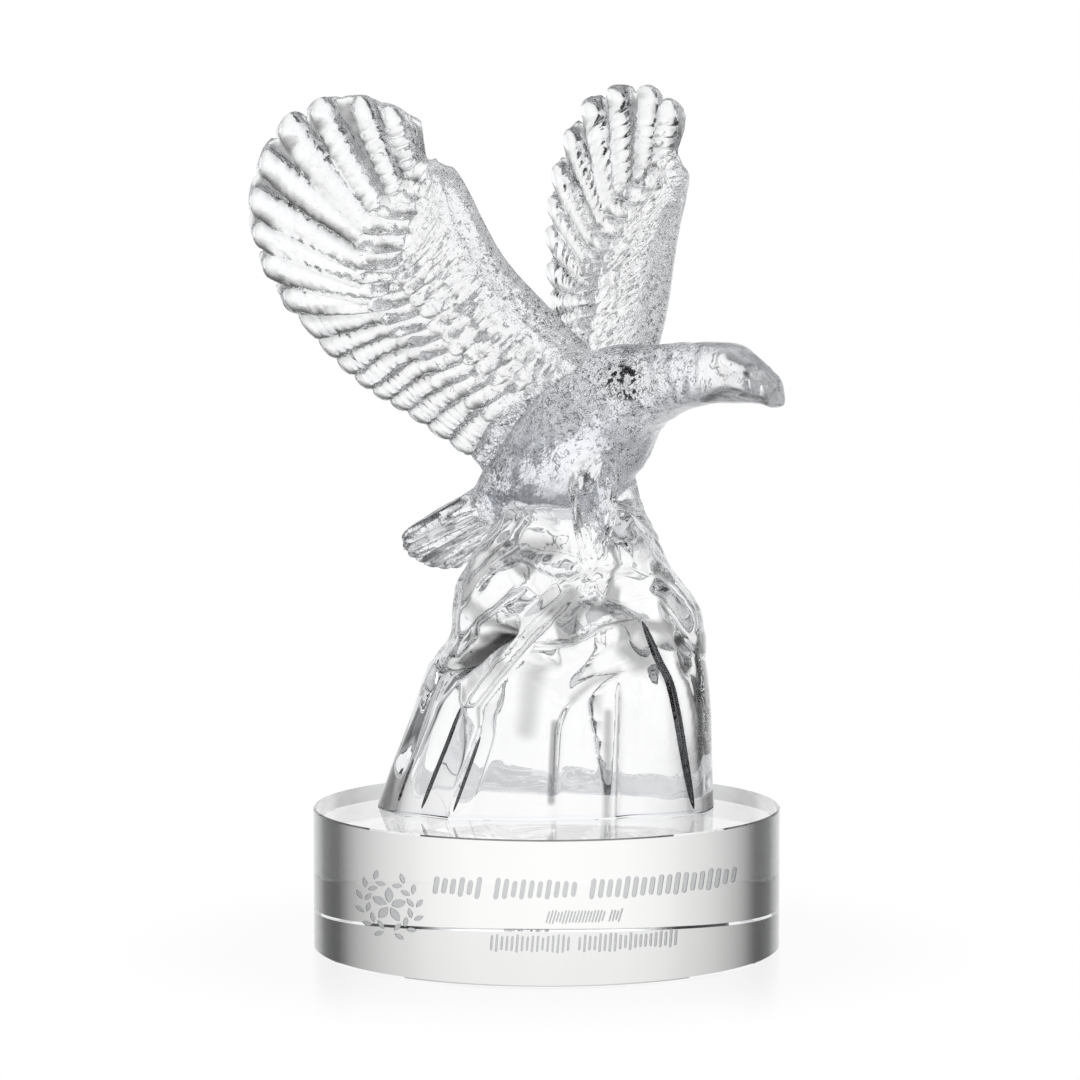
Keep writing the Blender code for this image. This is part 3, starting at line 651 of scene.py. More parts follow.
def across_feather(number):
    """Place across its own feather, from -1 to 1, of each feather number."""
    whole = np.floor(np.minimum(number, FEATHERS - 1e-6))
    return 2 * (number - whole) - 1


def wing_plan(number, out):
    """Span and chord at a feather number and a distance out, 0 at the leading edge, 1 at the tip."""
    rails = [through(r[:, 0], r[:, 1:], number) for r in (LEAD_RAIL, COVERT_RAIL, QUILL_RAIL, TIP_RAIL)]
    flat = np.stack(rails)
    return through(RAIL_PLACES, flat.reshape(4, -1), out).reshape(out.shape + rails[0].shape)


def primaries(place, seed):
    """Half thickness over the nine primaries, straight bolsters that fan out from the hand."""
    highest = np.full(place.shape[:-1], WEB)
    cover = np.zeros(place.shape[:-1])
    wander = noise(place, 8.0, seed + 1)
    for i, (tip, root, width, ripple, ball) in enumerate(PRIMARY_AXES):
        run = np.array(root) - tip
        length = np.hypot(*run)
        run = run / length
        off = place[..., :2] - tip
        s = off @ run
        aside = off @ np.array([-run[1], run[0]])
        beyond = np.where(s < 0, -s, 0.0)
        share = np.clip(s / length, 0, 1)
        half_width = width * (0.80 + 0.24 * np.sin(pi * share ** 0.8) - 0.16 * share)
        crest = dome(np.clip(np.hypot(aside, beyond) / half_width, 0, 1))
        wave = 2 * pi * (s / 3.0 + 0.10 * aside + 0.35 * wander + i * 0.37)
        height = WEB + PRIMARY_RISE * crest
        height += ripple * np.sin(wave) * np.sqrt(crest) * smooth_step(4.0, 7.0, s)
        height += ball * (0.5 * bell(np.hypot(s - 0.6, aside), 2.6) - 0.7 * crest * bell(s - 5.2, 1.4))
        highest = np.maximum(highest, height)
        cover = np.maximum(cover, crest)
    return highest + 0.30 * (1 - cover) * noise(place, 1.5, seed + 2)


def secondaries(number, from_tip, place, seed):
    """Half thickness over the secondaries, shorter bolsters side by side."""
    x = across_feather(number) + 0.20 * noise(place, 5.0, seed)
    crest = dome(np.clip(x / 0.9, -1, 1))
    wave = 2 * pi * (from_tip / 4.2 + 0.2 * x + 0.5 * noise(place, 6.0, seed + 1))
    height = WEB + SECONDARY_RISE * crest
    ripple = 0.13 * np.sin(wave) + 0.25 * noise(place, 4.0, seed + 3)
    height += ripple * crest * smooth_step(3.0, 6.0, from_tip)
    return height + 0.26 * (1 - crest) * noise(place, 1.5, seed + 2)


def wing_thickness(number, t, length, place, from_tip, inner, seed):
    """Half thickness at each place of one face of the wing, and the painted shade where it is sunk between
    feathers.
    """
    half = mix(primaries(place, seed), secondaries(number, from_tip, place, seed),
               smooth_step(8.7, 9.3, number))
    sunk = smooth_step(WEB + 1.0, WEB + 0.1, half) * smooth_step(0.8, 2.0, from_tip)
    for tier, (end, count, groove, rise) in enumerate(COVERT_TIERS):
        cell = number * count + 0.5 * (tier % 2)
        which = np.floor(cell)
        u = 2 * (cell - which) - 1 + 0.16 * noise(place, 5.0, seed + 5 + tier)
        ragged = (scatter(which, which * 0 + tier, seed=seed) - 0.5) * 2.0
        past_end = (t - end) * length + ragged + 2.2 * u * u
        inside = smooth_step(0.8, -0.8, past_end)
        round_end = dome(np.clip(1 + past_end / 3.0, 0, 1))
        crest = dome(np.clip(u / 0.95, -1, 1))
        hand = 1 - 0.7 * smooth_step(9, 5, number) * min(tier, 1)
        height = groove + rise * (crest * round_end * hand + 0.5 * (1 - hand))
        height = height - 0.5 * smooth_step(-5.0, -14.0, past_end)
        half = mix(half, height, inside)
        sunk = mix(sunk, 0.6 * smooth_step(0.45, 0.05, crest * round_end) * hand, inside)
    covert = 1 - smooth_step(0.50, 0.58, t)
    pebbles = 0.18 * noise(place, 1.7, seed + 3) + 0.20 * noise(place, 3.6, seed + 4)
    half = half + pebbles * mix(0.4, 1.0, covert)
    # the leading edge is a smooth roll, and the plumage next to the body is plain
    half = mix(half, 2.9 + 0.10 * noise(place, 2.2, seed + 9), smooth_step(0.12, 0.07, t))
    sunk = sunk * (1 - inner) * smooth_step(0.12, 0.16, t) * (0.7 + 0.3 * noise(place, 1.3, seed + 11))
    return mix(half, 3.0 + 0.4 * noise(place, 3.5, seed + 7), inner), sunk


def wing_rings(swell, gaps, seed):
    """Rings round the wing; how far out each point is, its share of the rump, and its painted shade in the
    webs.
    """
    numbers = []
    for feather in range(FEATHERS):
        steps = PRIMARY_COLUMNS if feather < PRIMARIES else SECONDARY_COLUMNS
        numbers += [feather + i / steps for i in range(steps)]
    numbers.append(FEATHERS)
    out = np.linspace(0, 1, WING_ROWS)
    out = out - 0.055 * np.sin(2 * pi * out) * smooth_step(0.3, 0.6, out)
    columns = []
    for number in numbers:
        crest = dome(across_feather(number))
        primary = 1 - smooth_step(PRIMARIES - 1, PRIMARIES + 1, number)
        plan = wing_plan(np.array(number), np.linspace(0, 1, 41))
        length = np.linalg.norm(np.diff(plan, axis=0), axis=-1).sum()
        gap = int(np.clip(round(number) - 1, 0, PRIMARIES - 1))
        notch = mix(SECONDARY_NOTCH, PRIMARY_NOTCH * gaps[gap], primary)
        reach = 1 - (notch * (1 - crest) + TIP_MARGIN) / length
        t = out * reach
        span, chord = apart(wing_plan(np.array(number), t))
        chord = chord - swell * bell(span - WRIST_SPAN, WRIST_WIDTH) * (1 - smooth_step(0, 0.4, t))
        columns.append(together(number, t, length, (reach - t) * length, span, chord))
    number, t, length, from_tip, span, chord = apart(columns)
    rounding = 1.0
    for inwards, least in ((t * length / 3.2, 0.05), (from_tip / 2.6, 0.04), (number / 0.5, 0.08)):
        rounding = rounding * dome(1 - np.clip(inwards, 0, 1), least)
    lift = SPAN_BEND * span ** 2 + CHORD_BEND * chord ** 2
    inner = smooth_step(1.0, -1.5, span - np.interp(chord, *zip(*BODY_SIDE)))
    faces = []
    shades = []
    for sign, face_seed in ((1, seed), (-1, seed + 40)):
        place = together(span, chord, 9.0 * face_seed)
        half, sunk = wing_thickness(number, t, length, place, from_tip, inner, face_seed)
        faces.append(together(span, chord, lift + sign * rounding * half))
        shades.append(sunk)
    return [np.concatenate([upper, lower[:, ::-1]], axis=1)
            for upper, lower in (faces, (t, t), (inner, inner), shades)]


def place_wing(rings, wing):
    """Put a wing's span, chord and lift on the eagle's shoulder."""
    shoulder, sweep, rise, twist, hand, _ = wing
    span_way = np.array([-sin(sweep) * cos(rise), -cos(sweep) * cos(rise), sin(rise)])
    back = np.array([-1.0, 0.0, 0.0])
    back = back - back.dot(span_way) * span_way
    back = back / np.linalg.norm(back)
    chord_way = cos(twist) * back + sin(twist) * np.cross(span_way, back)
    lift_way = np.cross(span_way, chord_way)
    points = np.array(shoulder) + rings @ np.array([span_way, chord_way, lift_way])
    points[..., 1] = points[..., 1] * hand
    return eagle_to_award(points)


# ---------------- casting it in one
def combine(name, main, tools):
    """Main as a new object with each (object, operation) joined to it or cut from it in turn."""
    for other, operation in tools:
        joint = main.modifiers.new(other.name, "BOOLEAN")
        joint.operation = operation
        joint.solver = "MANIFOLD"
        joint.object = other
    bpy.context.view_layer.update()
    graph = bpy.context.evaluated_depsgraph_get()
    mesh = bpy.data.meshes.new_from_object(main.evaluated_get(graph), depsgraph=graph)
    for old in [main] + [other for other, _ in tools]:
        old_mesh = old.data
        bpy.data.objects.remove(old)
        bpy.data.meshes.remove(old_mesh)
    mesh.name = name
    return link_object(name, mesh)


def cast_in_one(name, main, others, slots, skins):
    """Sink the slots into the main form and join the other forms to it, as one mesh."""
    for thing in [main] + others + slots:
        for skin in skins:
            thing.data.materials.append(skin)
        # the walls the slots leave take the last skin, the painted shade of the grooves
        mark = len(skins) - 1 if thing in slots else 0
        thing.data.polygons.foreach_set("material_index", [mark] * len(thing.data.polygons))
    tools = [(slot, "DIFFERENCE") for slot in slots] + [(other, "UNION") for other in others]
    thing = combine(name, main, tools)
    triangulate(thing.data)
    return thing


def read_array(items, key, width, kind=float):
    flat = np.empty(len(items) * width, kind)
    items.foreach_get(key, flat)
    return flat.reshape(-1, width)


def vertex_array(mesh):
    return read_array(mesh.vertices, "co", 3) / MM


def edge_array(mesh):
    return read_array(mesh.edges, "vertices", 2, np.int64)


def neighbour_mean(values, edges):
    """Mean of each vertex's neighbours."""
    count = len(values)
    total = np.zeros_like(values)
    for a, b in ((0, 1), (1, 0)):
        for k in range(values.shape[1]):
            total[:, k] += np.bincount(edges[:, a], values[edges[:, b], k], count)
    number = np.bincount(edges[:, 0], minlength=count) + np.bincount(edges[:, 1], minlength=count)
    return total / np.maximum(number, 1)[:, None]


def nearest_point(points, forms):
    """For each point, the index of the forms' nearest point, counted through all forms."""
    tree = KDTree(sum(len(form) for form in forms))
    index = 0
    for form in forms:
        for p in form:
            tree.insert(p, index)
            index += 1
    tree.balance()
    return np.array([tree.find(p)[1] for p in points])


def soften_seams(mesh, owner, rounds=10):
    """Round off the line where two forms meet, as casting does."""
    points = vertex_array(mesh)
    edges = edge_array(mesh)
    seam = np.zeros((len(points), 1))
    crossing = owner[edges[:, 0]] != owner[edges[:, 1]]
    seam[edges[crossing].ravel()] = 1.0
    reach = seam.copy()
    for _ in range(3):
        reach = np.maximum(reach, 0.9 * np.clip(2.2 * neighbour_mean(reach, edges), 0, 1))
    for _ in range(rounds):
        points += 0.6 * reach * (neighbour_mean(points, edges) - points)
    mesh.vertices.foreach_set("co", (points * MM).ravel())
    return points


def paint(mesh, name, values):
    layer = mesh.attributes.new(name, "FLOAT", "POINT")
    layer.data.foreach_set("value", np.asarray(values, np.float32))


# ---------------- materials
# the speck and shade shares are painted shade: they darken the crystal's colour, specks for the dark edges
# of pits, shade for folds and grooves
SHARES = ("frost", "pebble", "painted_speck_shade", "shade")     # painted on the eagle's points

# Lumps to a metre of the noises in the crystal's skin; LINES, BREAKS and BLOBS lay out its painted shade.
PEBBLES = 850.0
PITS = 1300.0
LINES = 980.0
BREAKS = 560.0
BLOBS = 520.0
WIPES = 60.0
ETCHING = 3500.0


def bare_tree(owner):
    """The emptied node tree of a material or world."""
    owner.use_nodes = True
    owner.node_tree.nodes.clear()
    return owner.node_tree


def new_material(name, colour, roughness, ior=1.5, transmission=1.0):
    material = bpy.data.materials.new(name)
    material.use_nodes = True
    shader = material.node_tree.nodes["Principled BSDF"]
    shader.inputs["Base Color"].default_value = (*colour, 1.0)
    shader.inputs["Roughness"].default_value = roughness
    shader.inputs["IOR"].default_value = ior
    shader.inputs["Transmission Weight"].default_value = transmission
    return material, shader, material.node_tree


def add_node(tree, kind, **settings):
    """Add a node; a setting named in_ and an input's name or number sets or links that input."""
    node = tree.nodes.new("ShaderNode" + kind)
    for name, value in settings.items():
        if name.startswith("in_"):
            key = name[3:]
            socket = node.inputs[int(key)] if key.isdigit() else node.inputs[key.replace("_", " ")]
            if isinstance(value, bpy.types.NodeSocket):
                tree.links.new(value, socket)
            else:
                socket.default_value = value
        else:
            setattr(node, name, value)
    return node


def calc(tree, operation, *values):
    """Output of a maths node on numbers or other nodes' outputs."""
    inputs = {f"in_{i}": value for i, value in enumerate(values)}
    return add_node(tree, "Math", operation=operation, **inputs).outputs[0]


def remap(tree, value, low, high, to_low=0.0, to_high=1.0, kind="LINEAR"):
    """Output that goes from to_low to to_high as the value goes from low to high."""
    return add_node(tree, "MapRange", interpolation_type=kind, in_0=value, in_1=low, in_2=high,
                    in_3=to_low, in_4=to_high).outputs[0]


def blend(tree, kind, share, a, b):
    """Mix of two numbers (FLOAT) or two colours (RGBA)."""
    first, out = (2, 0) if kind == "FLOAT" else (6, 2)
    inputs = {"in_0": share, f"in_{first}": a, f"in_{first + 1}": b}
    return add_node(tree, "Mix", data_type=kind, **inputs).outputs[out]


def grain(tree, scale, detail):
    """Noise with scale lumps to a metre, laid out on the object."""
    where = add_node(tree, "TexCoord").outputs["Object"]
    return add_node(tree, "TexNoise", in_Vector=where, in_Scale=scale,
                    in_Detail=detail).outputs["Fac"]


def cast_crystal():
    """Clear cast crystal, dulled and pebbled, with painted shade in its colour where its painted shares say
    so.
    """
    material, shader, tree = new_material("pebbled_cast_crystal", (0.98, 0.985, 1.0), 0.0)
    frost, pebble, painted_speck_shade, shade = [add_node(tree, "Attribute", attribute_name=name).outputs["Fac"]
                                   for name in SHARES]
    pits = remap(tree, grain(tree, PITS, 0.0), 0.60, 0.70, 0.0, -0.5, "SMOOTHSTEP")
    height = calc(tree, "ADD", pits, grain(tree, PEBBLES, 1.0))
    bump = add_node(tree, "Bump", in_Strength=pebble, in_Distance=0.0008, in_Height=height)
    tree.links.new(bump.outputs[0], shader.inputs["Normal"])
    tree.links.new(calc(tree, "MULTIPLY", frost, 0.22), shader.inputs["Roughness"])
    # painted shade: broken thin dark lines in the colour, standing for the shaded edges of pits, where the
    # skin is rough
    off_line = calc(tree, "ABSOLUTE", calc(tree, "SUBTRACT", grain(tree, LINES, 2.0), 0.5))
    some = calc(tree, "MINIMUM", painted_speck_shade, 0.7)
    unbroken = remap(tree, calc(tree, "MULTIPLY_ADD", some, 0.30, grain(tree, BREAKS, 1.0)), 0.62, 0.72)
    lines = calc(tree, "MULTIPLY", remap(tree, off_line, 0.05, 0.02), unbroken)
    depth = remap(tree, painted_speck_shade, 0.3, 0.8, 0.42, 0.6)
    lines = calc(tree, "MULTIPLY", lines, calc(tree, "MULTIPLY", remap(tree, painted_speck_shade, 0.02, 0.15), depth))
    # painted shade: near-black blobs in the colour, standing for the deepest hollows, where it is roughest
    shade_blobs = calc(tree, "MULTIPLY", remap(tree, grain(tree, BLOBS, 2.0), 0.53, 0.57),
                 remap(tree, painted_speck_shade, 0.88, 1.1, 0.0, 0.88))
    dark = calc(tree, "MAXIMUM", calc(tree, "MAXIMUM", lines, shade_blobs), shade)
    # the fourth power makes equal steps of shade look equal through the crystal
    lit = calc(tree, "POWER", calc(tree, "SUBTRACT", 1.0, dark), 4.0)
    tint = blend(tree, "RGBA", frost, (0.988, 0.99, 0.995, 1.0), (0.92, 0.938, 1.0, 1.0))
    shaded = blend(tree, "RGBA", lit, (0.0008, 0.0008, 0.001, 1.0), tint)
    tree.links.new(shaded, shader.inputs["Base Color"])
    return material


def polished_crystal():
    """Optically polished crystal, with the faintest wipe marks in its polish."""
    material, shader, tree = new_material("clear_polished_crystal", (0.985, 0.985, 0.975), 0.0, 1.52)
    faint = remap(tree, grain(tree, WIPES, 6.0), 0.45, 0.8, 0.0, 0.012)
    tree.links.new(faint, shader.inputs["Roughness"])
    return material


def etched_crystal():
    """The ground floor of the engraving."""
    material, shader, tree = new_material("etched_mark", (0.78, 0.79, 0.80), 0.5, 1.5, 0.6)
    bump = add_node(tree, "Bump", in_Strength=0.4, in_Distance=0.0001,
                    in_Height=grain(tree, ETCHING, 3.0))
    tree.links.new(bump.outputs[0], shader.inputs["Normal"])
    return material


def groove_painted_shade():
    """The walls of the sunk slots, painted near-black as painted shade for the dark the deep grooves show.
    """
    return new_material("groove_painted_shade", (0.02, 0.02, 0.022), 0.0)[0]


def bond():
    """Clear adhesive under the rock, where light passes straight on."""
    return new_material("clear_bond", (1.0, 1.0, 1.0), 0.0, 1.0)[0]


# ---------------- base
ENGRAVING_DEPTH = 0.28
# Rows of ticks: letters' places to each word, left, right, low, high, lean, tick's width, seed.
ENGRAVED_ROWS = [((3, 5, 9), -29.7, 50.1, 22.3, 28.2, 0.16, 1.25, 51),
                 ((9, 2), -0.2, 19.3, 16.3, 20.0, 0.30, 0.42, 52),
                 ((8, 10), -14.9, 34.0, 8.7, 13.7, 0.08, 0.62, 53)]
EMBLEM = (-41.1, 18.6, 9.4)      # x, z and size


def stroke_outline(start, end, width, taper=0.0, steps=7):
    """Closed outline of a round-ended stroke, or of a pointed leaf where taper is 1."""
    start = np.array(start, float)
    end = np.array(end, float)
    run = end - start
    length = np.linalg.norm(run)
    run = run / length
    across = np.array([-run[1], run[0]])
    t = (1 - np.cos((np.arange(steps) + 0.5) / steps * pi)) / 2
    from_end = np.clip(1 - np.minimum(t, 1 - t) * length / (width / 2), 0, 1)
    half = width / 2 * mix(dome(from_end), np.sin(t * pi) ** 0.8, taper)
    line = start + np.outer(t * length, run)
    return np.concatenate([line + np.outer(half, across), (line - np.outer(half, across))[::-1]])


def stroke_cutter(outline):
    """A closed prism that sinks an outline of (x, z) into the front of the rim."""
    turn = np.arcsin(outline[:, 0] / BASE_RADIUS)
    rings = [together(np.sin(turn) * radius, -np.cos(turn) * radius, outline[:, 1])
             for radius in (BASE_RADIUS + 0.4, BASE_RADIUS - ENGRAVING_DEPTH)]
    return loft(np.array(rings))


def hatch_row(words, left, right, low, high, lean, width, seed):
    """Groups of leaning ticks of uneven height, two to a letter's place."""
    places = sum(words) + 0.6 * (len(words) - 1)
    pitch = (right - left) / places
    strokes = []
    place = 0.0
    for word in words:
        for i in range(2 * word):
            x = left + (place + 0.25 + i / 2) * pitch
            share = 1.0 - 0.34 * float(scatter(np.array(int(place * 10) + i), seed=seed))
            middle = (low + high) / 2
            reach = (high - low) / 2 * share
            strokes.append(stroke_outline((x - lean * reach, middle - reach),
                                          (x + lean * reach, middle + reach), width))
        place += word + 0.6
    return strokes


def emblem(x, z, size):
    """A five-petalled star in an open wreath of leaves."""
    strokes = []
    for i in range(5):
        way = np.array([sin(2 * pi * i / 5), cos(2 * pi * i / 5)])
        strokes.append(stroke_outline((x, z) + 0.07 * size * way, (x, z) + 0.50 * size * way,
                                      0.24 * size, taper=1.0))
    for hand in (-1, 1):
        for i in range(6):
            turn = radians(168 - 27 * i)
            outward = np.array([hand * sin(turn), cos(turn)])
            along = np.array([-hand * cos(turn), sin(turn)])
            middle = np.array([x, z]) + 0.74 * size * outward
            for side in (-1, 1):
                way = along + 0.8 * side * outward
                way = way / np.linalg.norm(way)
                root = middle + 0.04 * size * side * outward
                strokes.append(stroke_outline(root, root + 0.29 * size * way, 0.14 * size, taper=1.0))
    return strokes


def engraving():
    """Outlines of three rows of ticks and an emblem, in (x, z) on the front of the rim."""
    return [stroke for row in ENGRAVED_ROWS for stroke in hatch_row(*row)] + emblem(*EMBLEM)


def engraved_base(foot, glue):
    """The polished disc, with its engraving cut in and the patch under the rock's foot marked."""
    levels = [(0.0, BASE_RADIUS - BASE_CHAMFER), (BASE_CHAMFER, BASE_RADIUS),
              (BASE_HEIGHT - BASE_CHAMFER, BASE_RADIUS), (BASE_HEIGHT, BASE_RADIUS - BASE_CHAMFER)]
    turn = np.arange(BASE_SIDES) * 2 * pi / BASE_SIDES
    rings = [together(np.cos(turn) * r, np.sin(turn) * r, z) for z, r in levels]
    foot_turn = np.unwrap(np.arctan2(foot[:, 1], foot[:, 0])) % (2 * pi)
    order = np.argsort(foot_turn)
    foot_x, foot_y = (np.interp(turn, foot_turn[order], foot[order, k], period=2 * pi) for k in (0, 1))
    rings.append(together(foot_x, foot_y, BASE_HEIGHT))
    base = make_object("disc", *loft(np.array(rings)))
    points = []
    faces = []
    for outline in engraving():
        more, skin = stroke_cutter(outline)
        faces += [tuple(v + len(points) for v in face) for face in skin]
        points += list(more)
    cutter = make_object("cutter", np.array(points), faces)
    base = combine("engraved_round_base", base, [(cutter, "DIFFERENCE")])
    mesh = base.data
    mesh.materials.clear()
    for material in (polished_crystal(), etched_crystal(), glue):
        mesh.materials.append(material)
    corners = vertex_array(mesh)
    reach = np.hypot(corners[:, 0], corners[:, 1])
    under_rock = (reach < BASE_RADIUS - BASE_CHAMFER - 1.0) & (corners[:, 2] > BASE_HEIGHT - 0.01)
    for face in mesh.polygons:
        x, y, z = np.array(face.center) / MM
        rim = BASE_CHAMFER < z < BASE_HEIGHT - BASE_CHAMFER
        if rim and np.hypot(x, y) < BASE_RADIUS - 0.05:
            face.material_index = 1
        elif under_rock[list(face.vertices)].all():
            face.material_index = 2
    mesh.shade_smooth()
    mesh.set_sharp_from_angle(angle=radians(30))
    return base


# ---------------- studio
# Brightness by degrees round from straight behind, and by degrees up the sweep.
ROUND_THE_STUDIO = [(0, 1.03), (12, 1.00), (20, 0.92), (29, 0.79), (41, 0.52), (46, 0.36), (49, 0.23),
                    (52, 0.12), (56, 0.08), (59, 0.05), (62, 0.02), (65, 0.02), (69, 0.14), (73, 0.22),
                    (80, 0.30), (92, 0.40), (100, 0.16), (112, 0.10), (118, 0.46), (132, 0.52), (138, 0.13),
                    (152, 0.08), (158, 0.42), (180, 0.50)]
UP_THE_SWEEP = [(0, 1.0), (8, 0.97), (16, 0.70), (26, 0.34), (36, 0.14), (50, 0.10), (90, 0.4)]
TOP_LIGHT = 2.0
LOW_LIGHT = 0.78                 # below the horizon in front
FRONT_COLOUR = (0.95, 0.972, 1.0)

# The rest is in metres, as Blender has it.
CARDS = (0.11, 0.26)             # up to the lower and upper edge of the white cards
CARD_REACH = 0.30
FLOOR_REACH = 0.14
FLOOR_DROP = 0.0001
FLOOR_SIDES = 64
CAMERA_PLACE = (-0.0018, -1.0, 0.1817)
CAMERA_DIP = 4.081               # degrees below level
CAMERA_LENS = 123.2              # millimetres, on a 36 mm sensor


def ramp(tree, value, stops):
    """Brightness through stops of (degrees, brightness); value runs over 0..1 for the whole range."""
    node = add_node(tree, "FloatCurve", in_Value=value)
    span = 180.0 if stops[-1][0] > 90 else 90.0
    curve = node.mapping.curves[0]
    node.mapping.use_clip = False
    node.mapping.extend = "HORIZONTAL"
    for i, (degrees, level) in enumerate(stops):
        x = degrees / span
        if i < 2:
            point = curve.points[i]
            point.location = (x, level / 4)
        else:
            point = curve.points.new(x, level / 4)
        point.handle_type = "VECTOR"
    node.mapping.update()
    return calc(tree, "MULTIPLY", node.outputs[0], 4.0)


def studio_world():
    """A white sweep behind, dark flags at the sides, panels in front, soft light above and low."""
    world = bpy.data.worlds.new("studio")
    bpy.context.scene.world = world
    tree = bare_tree(world)
    where = add_node(tree, "TexCoord").outputs["Generated"]
    x, y, z = add_node(tree, "SeparateXYZ", in_0=where).outputs
    height = calc(tree, "DIVIDE", calc(tree, "ARCSINE", z), pi / 2)
    bearing = calc(tree, "DIVIDE", calc(tree, "ARCTAN2", calc(tree, "ABSOLUTE", x), y), pi)
    light = calc(tree, "MULTIPLY", ramp(tree, bearing, ROUND_THE_STUDIO), ramp(tree, height, UP_THE_SWEEP))
    light = blend(tree, "FLOAT", remap(tree, height, 0.6, 0.8, kind="SMOOTHSTEP"), light, TOP_LIGHT)
    low_in_front = calc(tree, "MULTIPLY", remap(tree, z, -0.06, -0.12), remap(tree, y, -0.3, -0.6))
    light = blend(tree, "FLOAT", low_in_front, light, LOW_LIGHT)
    seen = add_node(tree, "LightPath").outputs["Is Camera Ray"]
    in_front = calc(tree, "MULTIPLY", remap(tree, y, 0.6, -0.1), calc(tree, "SUBTRACT", 1.0, seen))
    colour = blend(tree, "RGBA", in_front, (1.0, 1.0, 1.0, 1.0), (*FRONT_COLOUR, 1.0))
    strength = blend(tree, "FLOAT", seen, light, 1.0)
    glow = add_node(tree, "Background", in_Color=colour, in_Strength=strength)
    add_node(tree, "OutputWorld", in_Surface=glow.outputs[0])


def floor_look(tree):
    """To the camera a white glow, softly glossy close to the award; to other rays open air."""
    where = add_node(tree, "TexCoord").outputs["Object"]
    reach = add_node(tree, "VectorMath", operation="LENGTH", in_0=where).outputs["Value"]
    glow = add_node(tree, "Emission", in_Color=(1.0, 1.0, 1.0, 1.0), in_Strength=1.0)
    gloss = add_node(tree, "BsdfGlossy", in_Roughness=0.12)
    near = remap(tree, reach, 0.063, 0.13, 0.14, 0.0, "SMOOTHSTEP")
    floor = add_node(tree, "MixShader", in_0=near, in_1=glow.outputs[0], in_2=gloss.outputs[0])
    return floor, add_node(tree, "BsdfTransparent")


def card_look(tree):
    """To the camera open air; to other rays a white glow."""
    glow = add_node(tree, "Emission", in_Color=(0.975, 0.983, 1.0, 1.0), in_Strength=1.02)
    return add_node(tree, "BsdfTransparent"), glow


def studio_sheet(name, points, faces, look):
    """A sheet of the studio that looks one way to the camera and another to other rays."""
    material = bpy.data.materials.new(name)
    tree = bare_tree(material)
    seen, unseen = look(tree)
    path = add_node(tree, "LightPath")
    surface = add_node(tree, "MixShader", in_0=path.outputs["Is Camera Ray"],
                       in_1=unseen.outputs[0], in_2=seen.outputs[0])
    add_node(tree, "OutputMaterial", in_Surface=surface.outputs[0])
    mesh = bpy.data.meshes.new(name)
    mesh.from_pydata(points, [], faces)
    mesh.materials.append(material)
    return link_object(name, mesh)


def pale_floor():
    """The pale floor close to the award."""
    turn = np.arange(FLOOR_SIDES) * 2 * pi / FLOOR_SIDES
    points = [(FLOOR_REACH * cos(t), FLOOR_REACH * sin(t), 0) for t in turn]
    floor = studio_sheet("floor", points, [tuple(range(FLOOR_SIDES))], floor_look)
    floor.location.z = -FLOOR_DROP


def white_cards():
    """A white card each side, level with the eagle, that the camera doesn't see."""
    bearings = np.radians(np.linspace(20, 176, 40))
    for name, hand in (("left_card", -1), ("right_card", 1)):
        points = [(hand * CARD_REACH * sin(b), CARD_REACH * cos(b), z) for b in bearings for z in CARDS]
        faces = [(i, i + 2, i + 3, i + 1) for i in range(0, len(points) - 2, 2)]
        card = studio_sheet(name, points, faces, card_look)


def camera():
    data = bpy.data.cameras.new("camera")
    data.sensor_width = 36.0
    data.lens = CAMERA_LENS
    eye = link_object("camera", data)
    eye.location = CAMERA_PLACE
    eye.rotation_euler = (radians(90 - CAMERA_DIP), 0, 0)
    bpy.context.scene.camera = eye


def render_looks():
    scene = bpy.context.scene
    scene.view_settings.view_transform = "Standard"
    scene.cycles.max_bounces = 24
    scene.cycles.transmission_bounces = 24
    scene.cycles.glossy_bounces = 12
    scene.cycles.diffuse_bounces = 4
    scene.cycles.transparent_max_bounces = 12
    scene.cycles.use_denoising = True


